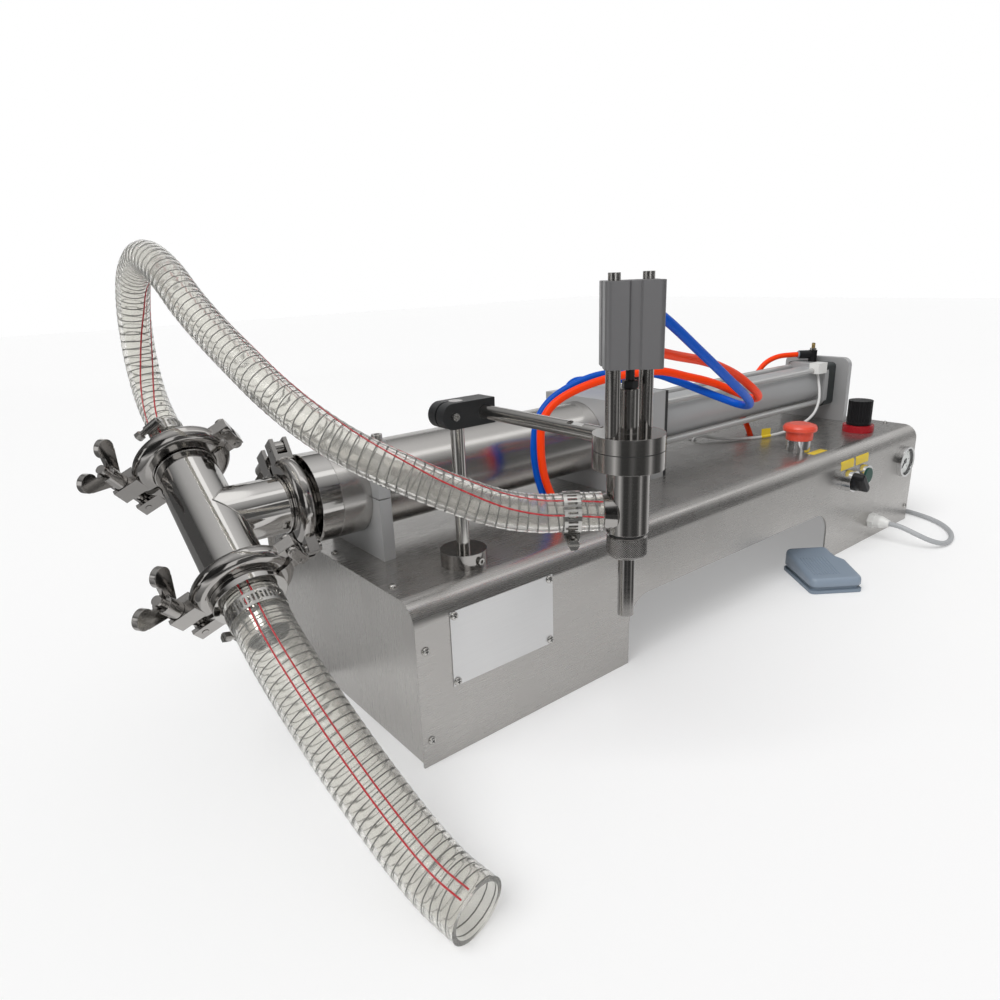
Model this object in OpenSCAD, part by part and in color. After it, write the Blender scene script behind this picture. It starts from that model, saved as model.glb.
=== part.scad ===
// Bench filling machine for liquids: an air cylinder drives a product piston on one axis.
// A tee with two ball valves feeds the product cylinder and a shut-off nozzle on a post.
// X runs along the casing to the control end, Y away from the operator, Z up from the bench.
// The origin is on the bench, at the middle of the casing.

/* [Casing] */
// Length of the casing
body_l = 910; // [880:5:960]
// Width of the casing
body_w = 300; // [280:2:330]
// Height of the deck above the bench
body_h = 150; // [140:1:165]
// Thickness of the stainless sheet
sheet_t = 2; // [1.5:0.1:2.5]
// Outside radius of the two long top folds
fold_r = 20; // [12:1:26]
// Length of each foot beside the arch
foot_l = 255; // [230:5:280]
// Height of the arch between the feet
arch_h = 73; // [60:1:80]
// Corner radius of the arch
arch_r = 30; // [15:1:40]
// Distance that the end plates stand back from the edge of the wrapper
plate_inset = 3; // [2:0.5:6]
// Diameter of the panel screws
panel_screw_d = 4; // [3:0.5:5]
// Length of the nameplate
nameplate_l = 114; // [90:1:120]
// Height of the nameplate
nameplate_h = 69; // [50:1:75]

/* [Product cylinder] */
// Outside diameter of the product tube
tube_od = 82; // [76:1:88]
// Wall of the product tube
tube_wall = 3; // [2:0.5:4]
// Height of the product tube above the deck
tube_lift = 17.5; // [15:0.5:22]
// Start of the product tube, from the tee end of the casing
tube_start = 4; // [2:1:8]
// Length of the end cap from the tube to its ferrule face
end_cap_l = 30; // [28:1:36]
// Length of the thick part of the end cap
end_cap_disc = 20; // [15:1:21]
// Near face of the front support, from the tee end of the casing
support_x = 32; // [28:1:40]
// Thickness of the front support
support_t = 12; // [10:1:16]
// Width of the supports across the casing
support_w = 106; // [100:1:116]
// Height of the front support's cap above the tube
support_over = 11; // [10:1:14]
// Near face of the centre block, from the control end of the casing
block_x = 581; // [570:1:595]
// Length of the centre block
block_l = 95; // [90:1:100]
// Height of the centre block above the tube
block_over = 6.5; // [5:0.5:10]
// Depth of the tube's seat in the centre block
seat_depth = 15; // [10:1:20]
// Length of the product piston
piston_l = 30; // [24:1:36]
// Stroke of the piston
stroke = 250; // [200:5:255]

/* [Air cylinder] */
// Bore of the air cylinder
cyl_bore = 50; // [44:1:52]
// Wall of the cylinder tube
cyl_wall = 3; // [2:0.5:4]
// Free length of the cylinder tube between its caps
cyl_l = 390; // [380:5:400]
// Side of the square cylinder caps
cyl_cap_w = 66; // [64:1:72]
// Thickness of the cylinder caps
cyl_cap_t = 28; // [26:1:32]
// Diameter of the piston rod
rod_d = 20; // [16:1:22]
// Diameter of the tie rods
tie_d = 8; // [6:0.5:8.5]
// Distance of the tie rods from the edges of the caps
tie_inset = 7.5; // [7:0.5:8]
// Thickness of the rear bracket
bracket_t = 10; // [8:1:14]

/* [Tee and clamps] */
// Outside diameter of the sanitary pipe
pipe_od = 50.8; // [48:0.2:53]
// Wall of the sanitary pipe
pipe_wall = 1.65; // [1.2:0.05:2]
// Diameter of the ferrules
ferrule_od = 64; // [62:0.5:66]
// Thickness of a ferrule at its rim
ferrule_t = 3; // [2.5:0.1:3.5]
// Distance from the middle of the tee to each ferrule face
tee_reach = 69; // [66:1:76]
// Thickness of the gaskets
gasket_t = 2; // [1.5:0.1:3]
// Angle of the tee's run below the horizontal, on the operator's side
run_drop = 33; // [30:1:36]
// Width of a clamp ring
clamp_w = 16; // [15:0.5:18]
// Diameter of the swing bolts
swing_d = 8; // [6:0.5:8]
// Diameter of the valve balls
ball_d = 38; // [36:0.5:40]
// Bore of the ball seats
seat_bore = 32; // [29:0.5:33]
// Lift of the valve balls
ball_lift = 8; // [4:0.5:8]

/* [Hoses] */
// Outside diameter of the product hose
hose_od = 28; // [26:0.5:30]
// Inside diameter of the product hose
hose_id = 20; // [17:0.5:21]
// Outside diameter of the suction hose
suction_od = 45; // [42:0.5:47]
// Inside diameter of the suction hose
suction_id = 38; // [36:0.5:39]
// Distance between the ribs of the hoses
rib_pitch = 7; // [6:0.5:10]
// Depth of the ribs
rib_depth = 0.8; // [0.4:0.1:1.2]
// Diameter of the air tubes
air_od = 8; // [6:0.5:8]

/* [Nozzle stand] */
// Distance of the post from the tee end of the casing
post_x = 84; // [76:1:92]
// Distance of the post from the operator's face
post_y = 46; // [42:1:54]
// Diameter of the post
post_d = 12; // [10:0.5:14]
// Diameter of the collar at the foot of the post
collar_od = 42; // [36:1:48]
// Height of the collar
collar_h = 14; // [10:1:18]
// Height of the arm rod above the bench
arm_z = 285; // [280:1:290]
// Diameter of the arm rod
arm_d = 12; // [10:0.5:14]
// Sideways distance from the post to the arm rod
arm_offset = 22; // [20:1:26]
// Distance from the operator's face out to the nozzle
nozzle_out = 125; // [120:1:140]
// Height and width of the cross clamp
cross_h = 22; // [20:1:28]
// Travel of the arm down the post
arm_travel = 80; // [50:1:90]

/* [Nozzle] */
// Diameter of the two nozzle flanges
flange_od = 50; // [48:1:54]
// Thickness of the upper flange
flange_up_t = 11; // [10:0.5:14]
// Thickness of the lower flange
flange_low_t = 13; // [11:0.5:16]
// Diameter of the nozzle body
nozzle_od = 30; // [28:0.5:34]
// Length of the nozzle body below its flange
nozzle_l = 46.5; // [44:0.5:50]
// Bore of the nozzle body
nozzle_bore = 18; // [16:0.5:20]
// Diameter of the knurled nut
nut_od = 28; // [26:0.5:30]
// Height of the knurled nut
nut_h = 16; // [14:0.5:20]
// Diameter of the tip
tip_od = 12; // [10:0.5:14]
// Bore of the tip
tip_bore = 9; // [7:0.5:9]
// Length of the tip below the nut
tip_l = 47; // [40:1:55]
// Diameter of the pillars
pillar_d = 10; // [8:0.5:11]
// Length of the pillars
pillar_l = 44.5; // [43:0.5:50]
// Pitch of the actuator's bolts, along each side
pillar_pitch = 26; // [25:0.5:27]
// Side of the square actuator
actuator_w = 38; // [37:0.5:42]
// Height of the actuator
actuator_h = 54.5; // [50:0.5:60]
// Turn of the nozzle about its axis
nozzle_turn = -40; // [-42:1:-38]
// Height of the hose inlet below the arm rod
inlet_drop = 50; // [48:0.5:52]
// Direction of the hose inlet about the nozzle
inlet_turn = 142; // [138:1:146]
// Diameter of the valve stem
stem_d = 6; // [5:0.5:7]
// Lift of the valve stem
stem_lift = 7; // [4:0.5:7.5]

/* [Controls] */
// Distance of the stop button from the control end of the casing
stop_x = 260; // [255:1:270]
// Distance of the deck controls from the operator's face
controls_y = 48; // [46:1:54]
// Diameter of the stop button's head
stop_od = 44; // [38:1:46]
// Distance of the regulator from the control end of the casing
regulator_x = 92; // [85:1:100]
// Diameter of the regulator's knob
knob_od = 33.5; // [30:0.5:36]
// Distance of the selector from the control end of the casing
selector_x = 213; // [211:1:216]
// Distance of the push button from the control end of the casing
button_x = 172; // [165:1:174]
// Distance of the face controls below the deck
controls_z = 42; // [38:1:45]
// Diameter of the panel hole for each control
panel_hole_d = 22.4; // [20:0.1:24]
// Diameter of the control bezels
bezel_od = 29; // [27:0.5:31]
// Distance of the gauge from the control end of the casing
gauge_x = 37; // [36:1:50]
// Diameter of the gauge
gauge_od = 46; // [42:1:48]
// Distance of the cable gland from the control end of the casing
gland_x = 125; // [115:1:135]
// Height of the cable gland above the bench
gland_z = 29; // [27:1:31]
// Diameter of the mains cable
cable_od = 7; // [6:0.5:7]

/* [Pedal] */
// Length of the pedal
pedal_l = 84; // [80:1:95]
// Width of the pedal
pedal_w = 66; // [60:1:70]
// Height of the pedal at its front
pedal_front_h = 19; // [18:0.5:22]
// Height of the pedal at its hinge end
pedal_back_h = 30; // [28:0.5:34]
// Angle that the treadle turns
pedal_turn = 3; // [1:0.5:3]

/* [Fits] */
// Clearance of fixed pieces on round seats, in radius
seat_gap = 0.1; // [0.05:0.05:0.2]
// Clearance of running fits, in radius
run_gap = 0.05; // [0.02:0.01:0.1]
// Clearance between pieces that pass each other
clear = 0.4; // [0.3:0.05:0.8]

/* [Hidden] */
$fn = 48;

// Cuts run this far past the faces that they open
past = 1;

// Casing
left = -body_l / 2;
right = body_l / 2;
front = -body_w / 2;
deck_under = body_h - sheet_t;
plate_gap = 0.3;
tab_l = 12;
tab_w = 20;
tab_screw_x = plate_inset + tab_l / 2;
deck_tab_y = [-105, 0, 105];
side_tab_z = [24, body_h - 42];
nameplate_x = left + 34;
nameplate_z = body_h - 16 - nameplate_h;
nameplate_t = 0.8;
nameplate_screw_inset = 4;

// Product cylinder, along X
axis_z = body_h + tube_lift + tube_od / 2;
tube_id = tube_od - 2 * tube_wall;
tube_x = left + tube_start;
spigot_l = 6;
split_gap = 1;
support_near = left + support_x;
support_mid = support_near + support_t / 2;
support_top = axis_z + tube_od / 2 + support_over;
cap_screw_d = 6;
cap_screw_y = support_w / 2 - 5.5;
cap_screw_bite = 14;
foot_screw_d = 6;
foot_screw_y = 32;
foot_screw_bite = 10;
block_near = right - block_x;
block_far = block_near + block_l;
block_top = axis_z + tube_od / 2 + block_over;
tube_end = block_near + seat_depth;
rod_passage_d = rod_d + 12;
piston_back = tube_end - 5;
piston_groove = 3;

// Air cylinder
cyl_od = cyl_bore + 2 * cyl_wall;
cyl_cap_r = 6;
cyl_seat = 4;
cyl_near = block_far + cyl_cap_t;
cyl_far = cyl_near + cyl_l;
bracket_near = cyl_far + cyl_cap_t;
bracket_far = bracket_near + bracket_t;
bracket_r = 12;
bracket_drop = 7;
foot_screw_x = [support_mid, block_near + block_l / 4, block_far - block_l / 4, bracket_near + bracket_t / 2];
tie_at = cyl_cap_w / 2 - tie_inset;
tie_bite = 20;
tie_nut_t = 6.5;
tie_nut_d = tie_d + 6;
air_piston_l = 25;
air_piston_far = cyl_far - 17;
port_d = 9.4;
port_depth = 8;
port_top = axis_z + cyl_cap_w / 2;
elbow_d = 13;
elbow_l = 22;
elbow_bite = 12;
front_port_x = block_far + cyl_cap_t / 2;
rear_port_x = cyl_far + cyl_cap_t / 2;
front_elbow_rise = block_top - port_top + elbow_d / 2 + 3;
rear_elbow_rise = 12;
rear_turn = 40;
rear_way = [-cos(rear_turn), sin(rear_turn), 0];
bar_l = 90;
bar_w = 40;
bar_h = 25;
valve_w = 36;
valve_h = 35;
inlet_fitting_z = 60;
inlet_fitting_y = 60;
sensor_w = 16;
sensor_l = 24;
sensor_out = 3.5;
sensor_at = tie_at + sensor_out;
sensor_x = cyl_far - 32;
sensor_cable_od = 4;

// Tee: its run lies across X and drops towards the operator
pipe_r = pipe_od / 2;
pipe_bore = pipe_od - 2 * pipe_wall;
ferrule_r = ferrule_od / 2;
ferrule_slope = tan(20);
ferrule_neck = ferrule_t + (ferrule_r - pipe_r) * ferrule_slope;
branch_face = tube_x - end_cap_l;
tee_x = branch_face - gasket_t - tee_reach;
run_tilt = 90 + run_drop;
run_out = tee_reach + gasket_t;
outlet_seat = pipe_r + 3;
outlet_seat_t = 3;
ball_rise = sqrt(ball_d * ball_d - seat_bore * seat_bore) / 2 + clear / 4;
inlet_ball_t = run_out - ball_rise;
outlet_ball_t = -outlet_seat - outlet_seat_t - ball_rise;

// Clamps: the hinge is at angle 0 of the ring, the swing bolt at 180 degrees
clamp_groove_r = ferrule_r + clear;
clamp_bore_r = pipe_r + 1.6;
clamp_ring_r = ferrule_r + 1;
clamp_half_t = gasket_t / 2 + ferrule_t + clear;
clamp_split = 5;
run_clamp_turn = 35;
branch_clamp_turn = -124;
lug_t = 10;
hinge_r = clamp_ring_r + 14;
hinge_rise = 9;
hinge_pin_d = 5;
link_t = 2.5;
bolt_r = clamp_ring_r + 14;
bolt_pin_y = -14;
bolt_lug_low = 5;
bolt_lug_h = 17;
bolt_end = 46;
wing_hub_d = 15;
wing_hub_h = 17;
wing_t = 5;

// Hoses and their barbs
barb_gap = 0.8;
barb_wall = 2.5;
barb_neck = clamp_w / 2 - gasket_t / 2 + clear;
hose_start = 14;
suction_collar_d = 59;
suction_start = 16;
barb_l = 36;
hose_clamp_w = 12;
hose_clamp_t = 0.8;
hose_clamp_gap = 0.2;
hose_clamp_in = 12;
hose_sides = 8;
bore_step = 6;

// Nozzle stand and nozzle
post_at = [left + post_x, front + post_y];
collar_screw_turn = -85;
collar_flat = 1;
arm_x = left + post_x + arm_offset;
nozzle_at = [arm_x, front - nozzle_out];
arm_tip = nozzle_at[1] + flange_od / 2 + seat_gap;
post_top = arm_z + cross_h / 2;
cross_near = post_at[1] - cross_h / 2;
cross_far = post_at[1] + cross_h / 2;
cross_right = arm_x + cross_h / 2;
cross_slit = 2;
cross_screw_d = 4;
cross_screw_x = post_at[0] - post_d / 2 - 4;
arm_stud_d = 7;
arm_stud_l = 10;
arm_flat_l = 16;
arm_flat_depth = 1.5;
flange_top = arm_z + flange_up_t / 2;
flange_mid = arm_z - flange_up_t / 2;
flange_bottom = flange_mid - flange_low_t;
body_bottom = flange_bottom - nozzle_l;
seal_t = 2;
nut_top = body_bottom - seal_t;
nut_bottom = nut_top - nut_h;
tip_bottom = nut_bottom - tip_l;
tip_spigot = 8;
plug_d = tip_bore + 3;
plug_l = 12;
plug_room = plug_d + 1;
seat_z = nut_bottom + 5;
guide_d = 13;
guide_h = 30;
actuator_z = flange_top + pillar_l;
actuator_top = actuator_z + actuator_h;
actuator_bore = 25;
actuator_floor = 6;
actuator_ceiling = 7;
actuator_corner = 4;
actuator_groove_w = 8;
actuator_groove = 1.5;
pillar_bolt_d = 5;
pillar_bolt_bite = 12;
pillar_stud = 7;
actuator_port_z = [actuator_z + 43, actuator_z + 7];
actuator_port_d = 12;
actuator_port_l = 12;
inlet_z = arm_z - inlet_drop;
inlet_hose_start = nozzle_od / 2 + 3;
inlet_barb_end = inlet_hose_start + 38;
inlet_rim_d = hose_od - 4;
stem_nut_d = 11;
stem_nut_h = 5;
stem_piston_h = 8;

// Controls
stop_at = [right - stop_x, front + controls_y];
stop_collar_d = 31;
stop_collar_h = 17;
stop_travel = 4;
stop_gap = stop_travel + clear;
stop_skirt_h = 6.5;
stop_head_h = 10;
plunger_d = 14;
plunger_l = 18;
control_neck = 8;
face_z = body_h - controls_z;
control_block = 34;
selector_bezel_h = 12;
selector_h = 15.5;
button_bezel_h = 10;
button_d = bezel_od - 7;
button_h = 6.5;
button_proud = 1.5;
button_travel = 3;
spindle_d = 10;
spindle_l = 8;
regulator_at = [right - regulator_x, front + controls_y];
regulator_ring_d = 43;
regulator_ring_h = 10;
regulator_neck_d = 30;
regulator_body_d = 40;
regulator_body_h = 56;
knob_h = 36;
gauge_z = body_h - 49;
gauge_depth = 7;
gauge_rim = 3;
gauge_recess = 5;
gauge_case_d = 39;
gauge_case_l = 30;
needle_t = 1;
needle_l = 15;
gland_d = 16;
gland_hex_d = 22;
gland_hex_h = 8;
gland_l = 28;

// Pedal
pedal_at = [141, front - 29];
pedal_turned = 54;
pedal_plate_t = 4;
pedal_skirt = 9;
pedal_pin_d = 5;
pedal_pin_z = 15;
pedal_pin_in = 10;
pedal_pin_x = pedal_l / 2 - pedal_pin_in;
pedal_ear_t = 6;
pedal_wall = 3;

// A route whose ends are carried to the places given
function fitted(route, from, to) =
    let (last = len(route) - 1)
    [for (i = [0 : last])
        let (share = min(1, max(0, (i - 2) / (last - 4))))
        route[i] + (1 - share) * (from - route[0]) + share * (to - route[last])];

// Places where the hoses, tubes and cables start or end
tee_at = [tee_x, 0, axis_z];
run_way = [0, -cos(run_drop), -sin(run_drop)];
inlet_way = [cos(inlet_turn), sin(inlet_turn), 0];
port_way = [-sin(nozzle_turn), cos(nozzle_turn), 0];
port_out = actuator_w / 2 + actuator_port_l + clear;
port_at = [nozzle_at[0], nozzle_at[1], 0] + port_out * port_way;
inlet_at = [nozzle_at[0], nozzle_at[1], inlet_z] + (inlet_hose_start + clear) * inlet_way;
tube_low = deck_under - 10;
coil_r = 46;
coil_at = [right - gland_x, body_w / 2 + 18 + coil_r];
coil_z = 3.6;

// Routes along the middle lines of hoses, tubes and cables
hose_route = fitted([
    [-366.6, -261.2, 235], [-382, -249, 235], [-398, -236.8, 235], [-420, -221, 240], [-445, -203, 252],
    [-472, -181, 268], [-497, -155, 286], [-515, -130, 305], [-527, -103, 324], [-535, -72, 344],
    [-541, -40, 363], [-546, -10, 383], [-549, 17, 402], [-551, 40, 413], [-552, 64, 418],
    [-552, 90, 413], [-552, 115, 400], [-552, 133, 375], [-552, 140, 346], [-552, 137, 317],
    [-552, 124, 293], [-552, 104, 276], [-552, 88, 265.5], [-552, 71.3, 254.8]
], inlet_at, tee_at - (run_out + hose_start) * run_way);
suction_route = fitted([
    [-552, -73, 161.1], [-552, -88, 151], [-552, -105, 140], [-550, -130, 123], [-546, -161, 101],
    [-541, -191, 79], [-535, -222, 57], [-529, -253, 38], [-524, -281, 26.5], [-519, -309, 22.8]
], tee_at + (run_out + suction_start) * run_way, [tee_x + 33, -309, suction_od / 2 + 0.3]);
blue_route = fitted([
    [-242, -78, 138], [-244, -76, 165], [-252, -71, 200], [-253, -68, 230], [-245, -67, 258],
    [-224, -73, 279], [-187, -93, 295], [-135, -113, 293], [-108, -128, 283], [-89, -143, 273],
    [-74, -160, 264], [-69, -178, 259], [-82, -197, 263], [-114, -213, 277], [-163, -226, 300],
    [-219, -235, 330], [-272, -238, 361], [-303, -233, 375], [-318, -240, 378], [-328.8, -250.9, 378]
], [left + 213, front + 72, tube_low], port_at + [0, 0, actuator_port_z[0]]);
orange_route = fitted([
    [-234, -86, 138], [-240, -86, 165], [-253, -83, 200], [-255, -80, 231], [-249, -78, 258],
    [-230, -84, 277], [-194, -104, 292], [-149, -131, 298], [-110, -144, 289], [-81, -154, 280],
    [-57, -167, 268], [-54, -183, 264], [-64, -195, 269], [-88, -202, 281], [-121, -204, 298],
    [-174, -211, 315], [-237, -221, 328], [-303, -232, 342], [-318, -239, 342], [-328.8, -250.9, 342]
], [left + 221, front + 64, tube_low], port_at + [0, 0, actuator_port_z[1]]);
rear_tube_route = fitted([
    [390.3, 9, 253.5], [376, 21, 253.5], [356, 34, 251.5], [338, 43, 243], [322, 48, 227],
    [304, 50, 207], [284, 47, 188], [262, 33, 175], [243, 11, 165], [235, -3, 149], [235, -4, 138]
], [rear_port_x, 0, port_top + rear_elbow_rise] + (elbow_l - 8) * rear_way,
    [rear_port_x - 166, -4, tube_low]);
front_tube_route = fitted([
    [-29, 0, 265.5], [-46, 0, 265.5], [-61, 9, 265.5], [-70, 26, 265.5], [-75, 42, 265.5],
    [-78, 56, 261.5], [-80, 65, 250], [-80, 68, 228], [-80, 68, 195], [-80, 68, 165], [-80, 68, 138]
], [front_port_x - elbow_l + 10, 0, port_top + front_elbow_rise], [front_port_x - 63, 68, tube_low]);
sensor_route = fitted([
    [367, -29, 229.1], [366, -31, 222], [361, -37, 208], [350, -44, 191], [332, -48, 175],
    [307, -47, 164], [277, -42, 157], [247, -35, 153.5], [217, -24, 152.5], [187, -6, 152.7],
    [168, 13, 154.5], [157, 27, 157], [151.3, 35.5, 153.8], [150, 38.3, 145], [150, 39, 136]
], [sensor_x + sensor_l / 2, -sensor_at, axis_z + sensor_at - sensor_w / 2 - clear],
   [sensor_x - 205, 39, tube_low - 2]);
cable_route = fitted([
    [330, -178, 29], [330, -190, 29], [331, -203, 26], [336, -217, 20], [346, -229, 13],
    [362, -237, 7], [384, -239, 3.6], [412, -233, 3.6], [440, -217, 3.6], [463, -192, 3.6],
    [478, -158, 3.6], [484, -118, 3.6], [485, -70, 3.6], [485, -15, 3.6], [485, 40, 3.6],
    [485, 90, 3.6], [484, 122, 3.6], [478, 147, 3.6], [464, 162, 3.6], [443, 168, 3.6],
    [415, 168, 3.6], [385, 168, 3.6], [355, 168, 3.6], [330, 168, 3.6]
], [right - gland_x, front - gland_l, gland_z], [coil_at[0], coil_at[1] - coil_r, coil_z]);

// Coil of the mains cable, behind the casing
coil_turns = 2;
coil_step = cable_od + 0.6;
coil_rings = 24;
coil_sides = 6;
coil_tail = [for (p = [[15, 11.2], [32, 10.8], [50, 10]]) [coil_at[0] + p[0], coil_at[1] + coil_r, p[1]]];
plug_at = coil_tail[2];
plug_body_l = 42;
plug_body_w = 26;
plug_body_h = 20;
plug_pin_d = 4.8;
plug_pin_l = 19;
plug_pin_pitch = 19;

// One point of a smooth curve that passes through b and c
function curve_point(a, b, c, d, t) =
    0.5 * (2 * b + (c - a) * t + (2 * a - 5 * b + 4 * c - d) * t * t + (3 * b - a - 3 * c + d) * t * t * t);

// A point of a route, carried on straight past its ends
function route_point(route, i) =
    i < 0 ? 2 * route[0] - route[1]
    : i >= len(route) ? 2 * route[len(route) - 1] - route[len(route) - 2]
    : route[i];

// Points along a route, about one step apart
function along_route(route, step) = concat(
    [for (i = [0 : len(route) - 2])
        let (count = max(1, round(norm(route[i + 1] - route[i]) / step)))
        for (k = [0 : count - 1])
            curve_point(route_point(route, i - 1), route[i], route[i + 1],
                        route_point(route, i + 2), k / count)],
    [route[len(route) - 1]]);

function route_length(points) = len(points) < 2 ? 0
    : [for (i = 0, s = 0; i < len(points); i = i + 1,
            s = i < len(points) ? s + norm(points[i] - points[i - 1]) : s) s][len(points) - 1];

function unit(v) = v / norm(v);

// Direction of a path at each of its points
function path_direction(path, i) =
    unit(path[min(i + 1, len(path) - 1)] - path[max(i - 1, 0)]);

// Side vectors that turn with the path and don't twist about it
function side_vectors(path) =
    let (t0 = path_direction(path, 0),
         start = unit(cross(t0, abs(t0[2]) > 0.9 ? [1, 0, 0] : [0, 0, 1])))
    [for (i = 0, n = start; i < len(path); i = i + 1,
          n = i < len(path) ? let (t = path_direction(path, i)) unit(n - (n * t) * t) : n) n];

// Rings of points round a path
function rings(path, radii, sides) =
    let (side = side_vectors(path))
    [for (i = [0 : len(path) - 1])
        let (t = path_direction(path, i), up = cross(t, side[i]))
        for (k = [0 : sides - 1])
            path[i] + radii[i] * (cos(360 * k / sides) * side[i] + sin(360 * k / sides) * up)];

// Triangles between two neighbouring rings, whose first points are a and b
function band(a, b, sides) = [for (k = [0 : sides - 1])
    let (m = (k + 1) % sides)
    each [[a + k, b + k, b + m], [a + k, b + m, a + m]]];

// A plain tube or cord along a path
module cord(path, d, sides) {
    last = (len(path) - 1) * sides;
    polyhedron(
        rings(path, [for (p = path) d / 2], sides),
        concat(
            [for (i = [0 : len(path) - 2]) each band(i * sides, (i + 1) * sides, sides)],
            [for (k = [1 : sides - 2]) [0, k, k + 1]],
            [for (k = [1 : sides - 2]) [last, last + k + 1, last + k]]));
}

// A ribbed hose with its bore: each rib has a crest ring and a valley ring
module ribbed_hose(route, od, id) {
    path = along_route(route, rib_pitch / 2);
    count = len(path);
    inner_at = concat([for (i = [0 : bore_step : count - bore_step - 1]) i], [count - 1]);
    inner = [for (i = inner_at) path[i]];
    outer_r = [for (i = [0 : count - 1]) od / 2 - (i % 2 == 1 && i < count - 1 ? rib_depth : 0)];
    base = count * hose_sides;
    last = (count - 1) * hose_sides;
    inner_last = base + (len(inner) - 1) * hose_sides;
    turn = side_vectors(path);
    bore_r = id / 2 / cos(180 / hose_sides);
    polyhedron(
        concat(rings(path, outer_r, hose_sides),
               [for (j = [0 : len(inner) - 1])
                    let (i = inner_at[j], t = path_direction(path, i), up = cross(t, turn[i]))
                    for (k = [0 : hose_sides - 1])
                        path[i] + bore_r * (cos(360 * k / hose_sides) * turn[i]
                                            + sin(360 * k / hose_sides) * up)]),
        concat(
            [for (i = [0 : count - 2]) each band(i * hose_sides, (i + 1) * hose_sides, hose_sides)],
            [for (j = [0 : len(inner) - 2])
                each band(base + (j + 1) * hose_sides, base + j * hose_sides, hose_sides)],
            band(base, 0, hose_sides),
            band(last, inner_last, hose_sides)));
}

// Angle, radius and height of the coil, by turns from its start
function coil_radius(turn) = coil_r
    - coil_step * (turn < coil_turns + 0.25 ? turn : 2 * coil_turns + 0.5 - turn);
function coil_height(turn) = coil_z
    + coil_step * (1 - cos(180 * min(1, max(0, 2 * (turn - coil_turns))))) / 2;
function coil_point(turn) = [
    coil_at[0] - coil_radius(turn) * sin(360 * turn),
    coil_at[1] - coil_radius(turn) * cos(360 * turn),
    coil_height(turn)];
coil_loops = [for (i = [0 : (2 * coil_turns + 0.5) * coil_rings]) coil_point(i / coil_rings)];
coil_path = concat(coil_loops, coil_tail);
coil_gap = min([for (i = [0 : len(coil_path) - 1])
    for (j = [i + coil_rings / 2 : 1 : len(coil_path) - 1]) norm(coil_path[i] - coil_path[j])]) - cable_od;
echo("least gap between the turns of the coil", coil_gap);
echo("length of the mains cable", route_length(along_route(cable_route, 10)) + route_length(coil_path));

// A shape on the X axis with its two top corners rounded
module arch_shape(w, h, r) {
    translate([-w / 2, 0]) square([w, h - r]);
    translate([-w / 2 + r, 0]) square([w - 2 * r, h]);
    for (s = [-1, 1]) translate([s * (w / 2 - r), h - r]) circle(r = r);
}

// A rectangle with all its corners rounded
module rounded_square(w, h, r) {
    square([w - 2 * r, h], center = true);
    square([w, h - 2 * r], center = true);
    for (x = [-1, 1], y = [-1, 1]) translate([x * (w / 2 - r), y * (h / 2 - r)]) circle(r = r);
}

// Turn a shape so that its X, Y and Z become Y, Z and X
module along_x() { rotate([90, 0, 90]) children(); }

// Turn a shape so that its Z points at the operator
module to_front() { rotate([90, 0, 0]) children(); }

module rod_x(d, l) { rotate([0, 90, 0]) cylinder(d = d, h = l); }

// A domed screw on the XY plane, with its shank below
module panel_screw(d, l) {
    rotate_extrude() polygon([[0, 0], [0.9 * d, 0], [0.9 * d, 0.2 * d], [0.5 * d, 0.5 * d], [0, 0.55 * d]]);
    translate([0, 0, -l]) cylinder(d = d - 2 * seat_gap, h = l);
}

// A socket screw that stands on the XY plane, with its shank below
module socket_screw(d, l) {
    difference() {
        cylinder(d = 1.6 * d, h = d);
        translate([0, 0, 0.4 * d]) cylinder(d = 0.9 * d, h = d, $fn = 6);
    }
    translate([0, 0, -l]) cylinder(d = d - 2 * seat_gap, h = l);
}

// Places of the panel screws: each child has its Z out of the sheet
module at_deck_tabs() {
    for (s = [-1, 1], y = deck_tab_y)
        translate([s * (right - tab_screw_x), y, body_h]) children();
}

module at_side_tabs() {
    for (s = [-1, 1], t = [-1, 1], z = side_tab_z)
        translate([s * (right - tab_screw_x), t * body_w / 2, z]) rotate([-t * 90, 0, 0]) children();
}

module at_nameplate_corners() {
    for (x = [nameplate_screw_inset, nameplate_l - nameplate_screw_inset])
        for (z = [nameplate_screw_inset, nameplate_h - nameplate_screw_inset])
            translate([nameplate_x + x, front, nameplate_z + z]) to_front() children();
}

// Screws up through the deck into the supports
module at_foot_screws() {
    for (x = foot_screw_x, y = [-foot_screw_y, foot_screw_y])
        translate([x, y, deck_under]) rotate([180, 0, 0]) children();
}

module at_ties() {
    for (y = [-tie_at, tie_at], z = [-tie_at, tie_at]) translate([0, y, axis_z + z]) children();
}

module deck_hole(at, d) {
    translate([at[0], at[1], deck_under - past]) cylinder(d = d, h = sheet_t + 2 * past);
}

module face_hole(x, z, d) {
    translate([x, front + sheet_t + past, z]) to_front() cylinder(d = d, h = sheet_t + 2 * past);
}

// Holes of a screw, in a sheet under the XY plane
module screw_hole(d, depth) { translate([0, 0, -depth]) cylinder(d = d + 2 * seat_gap, h = depth + past); }

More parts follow.
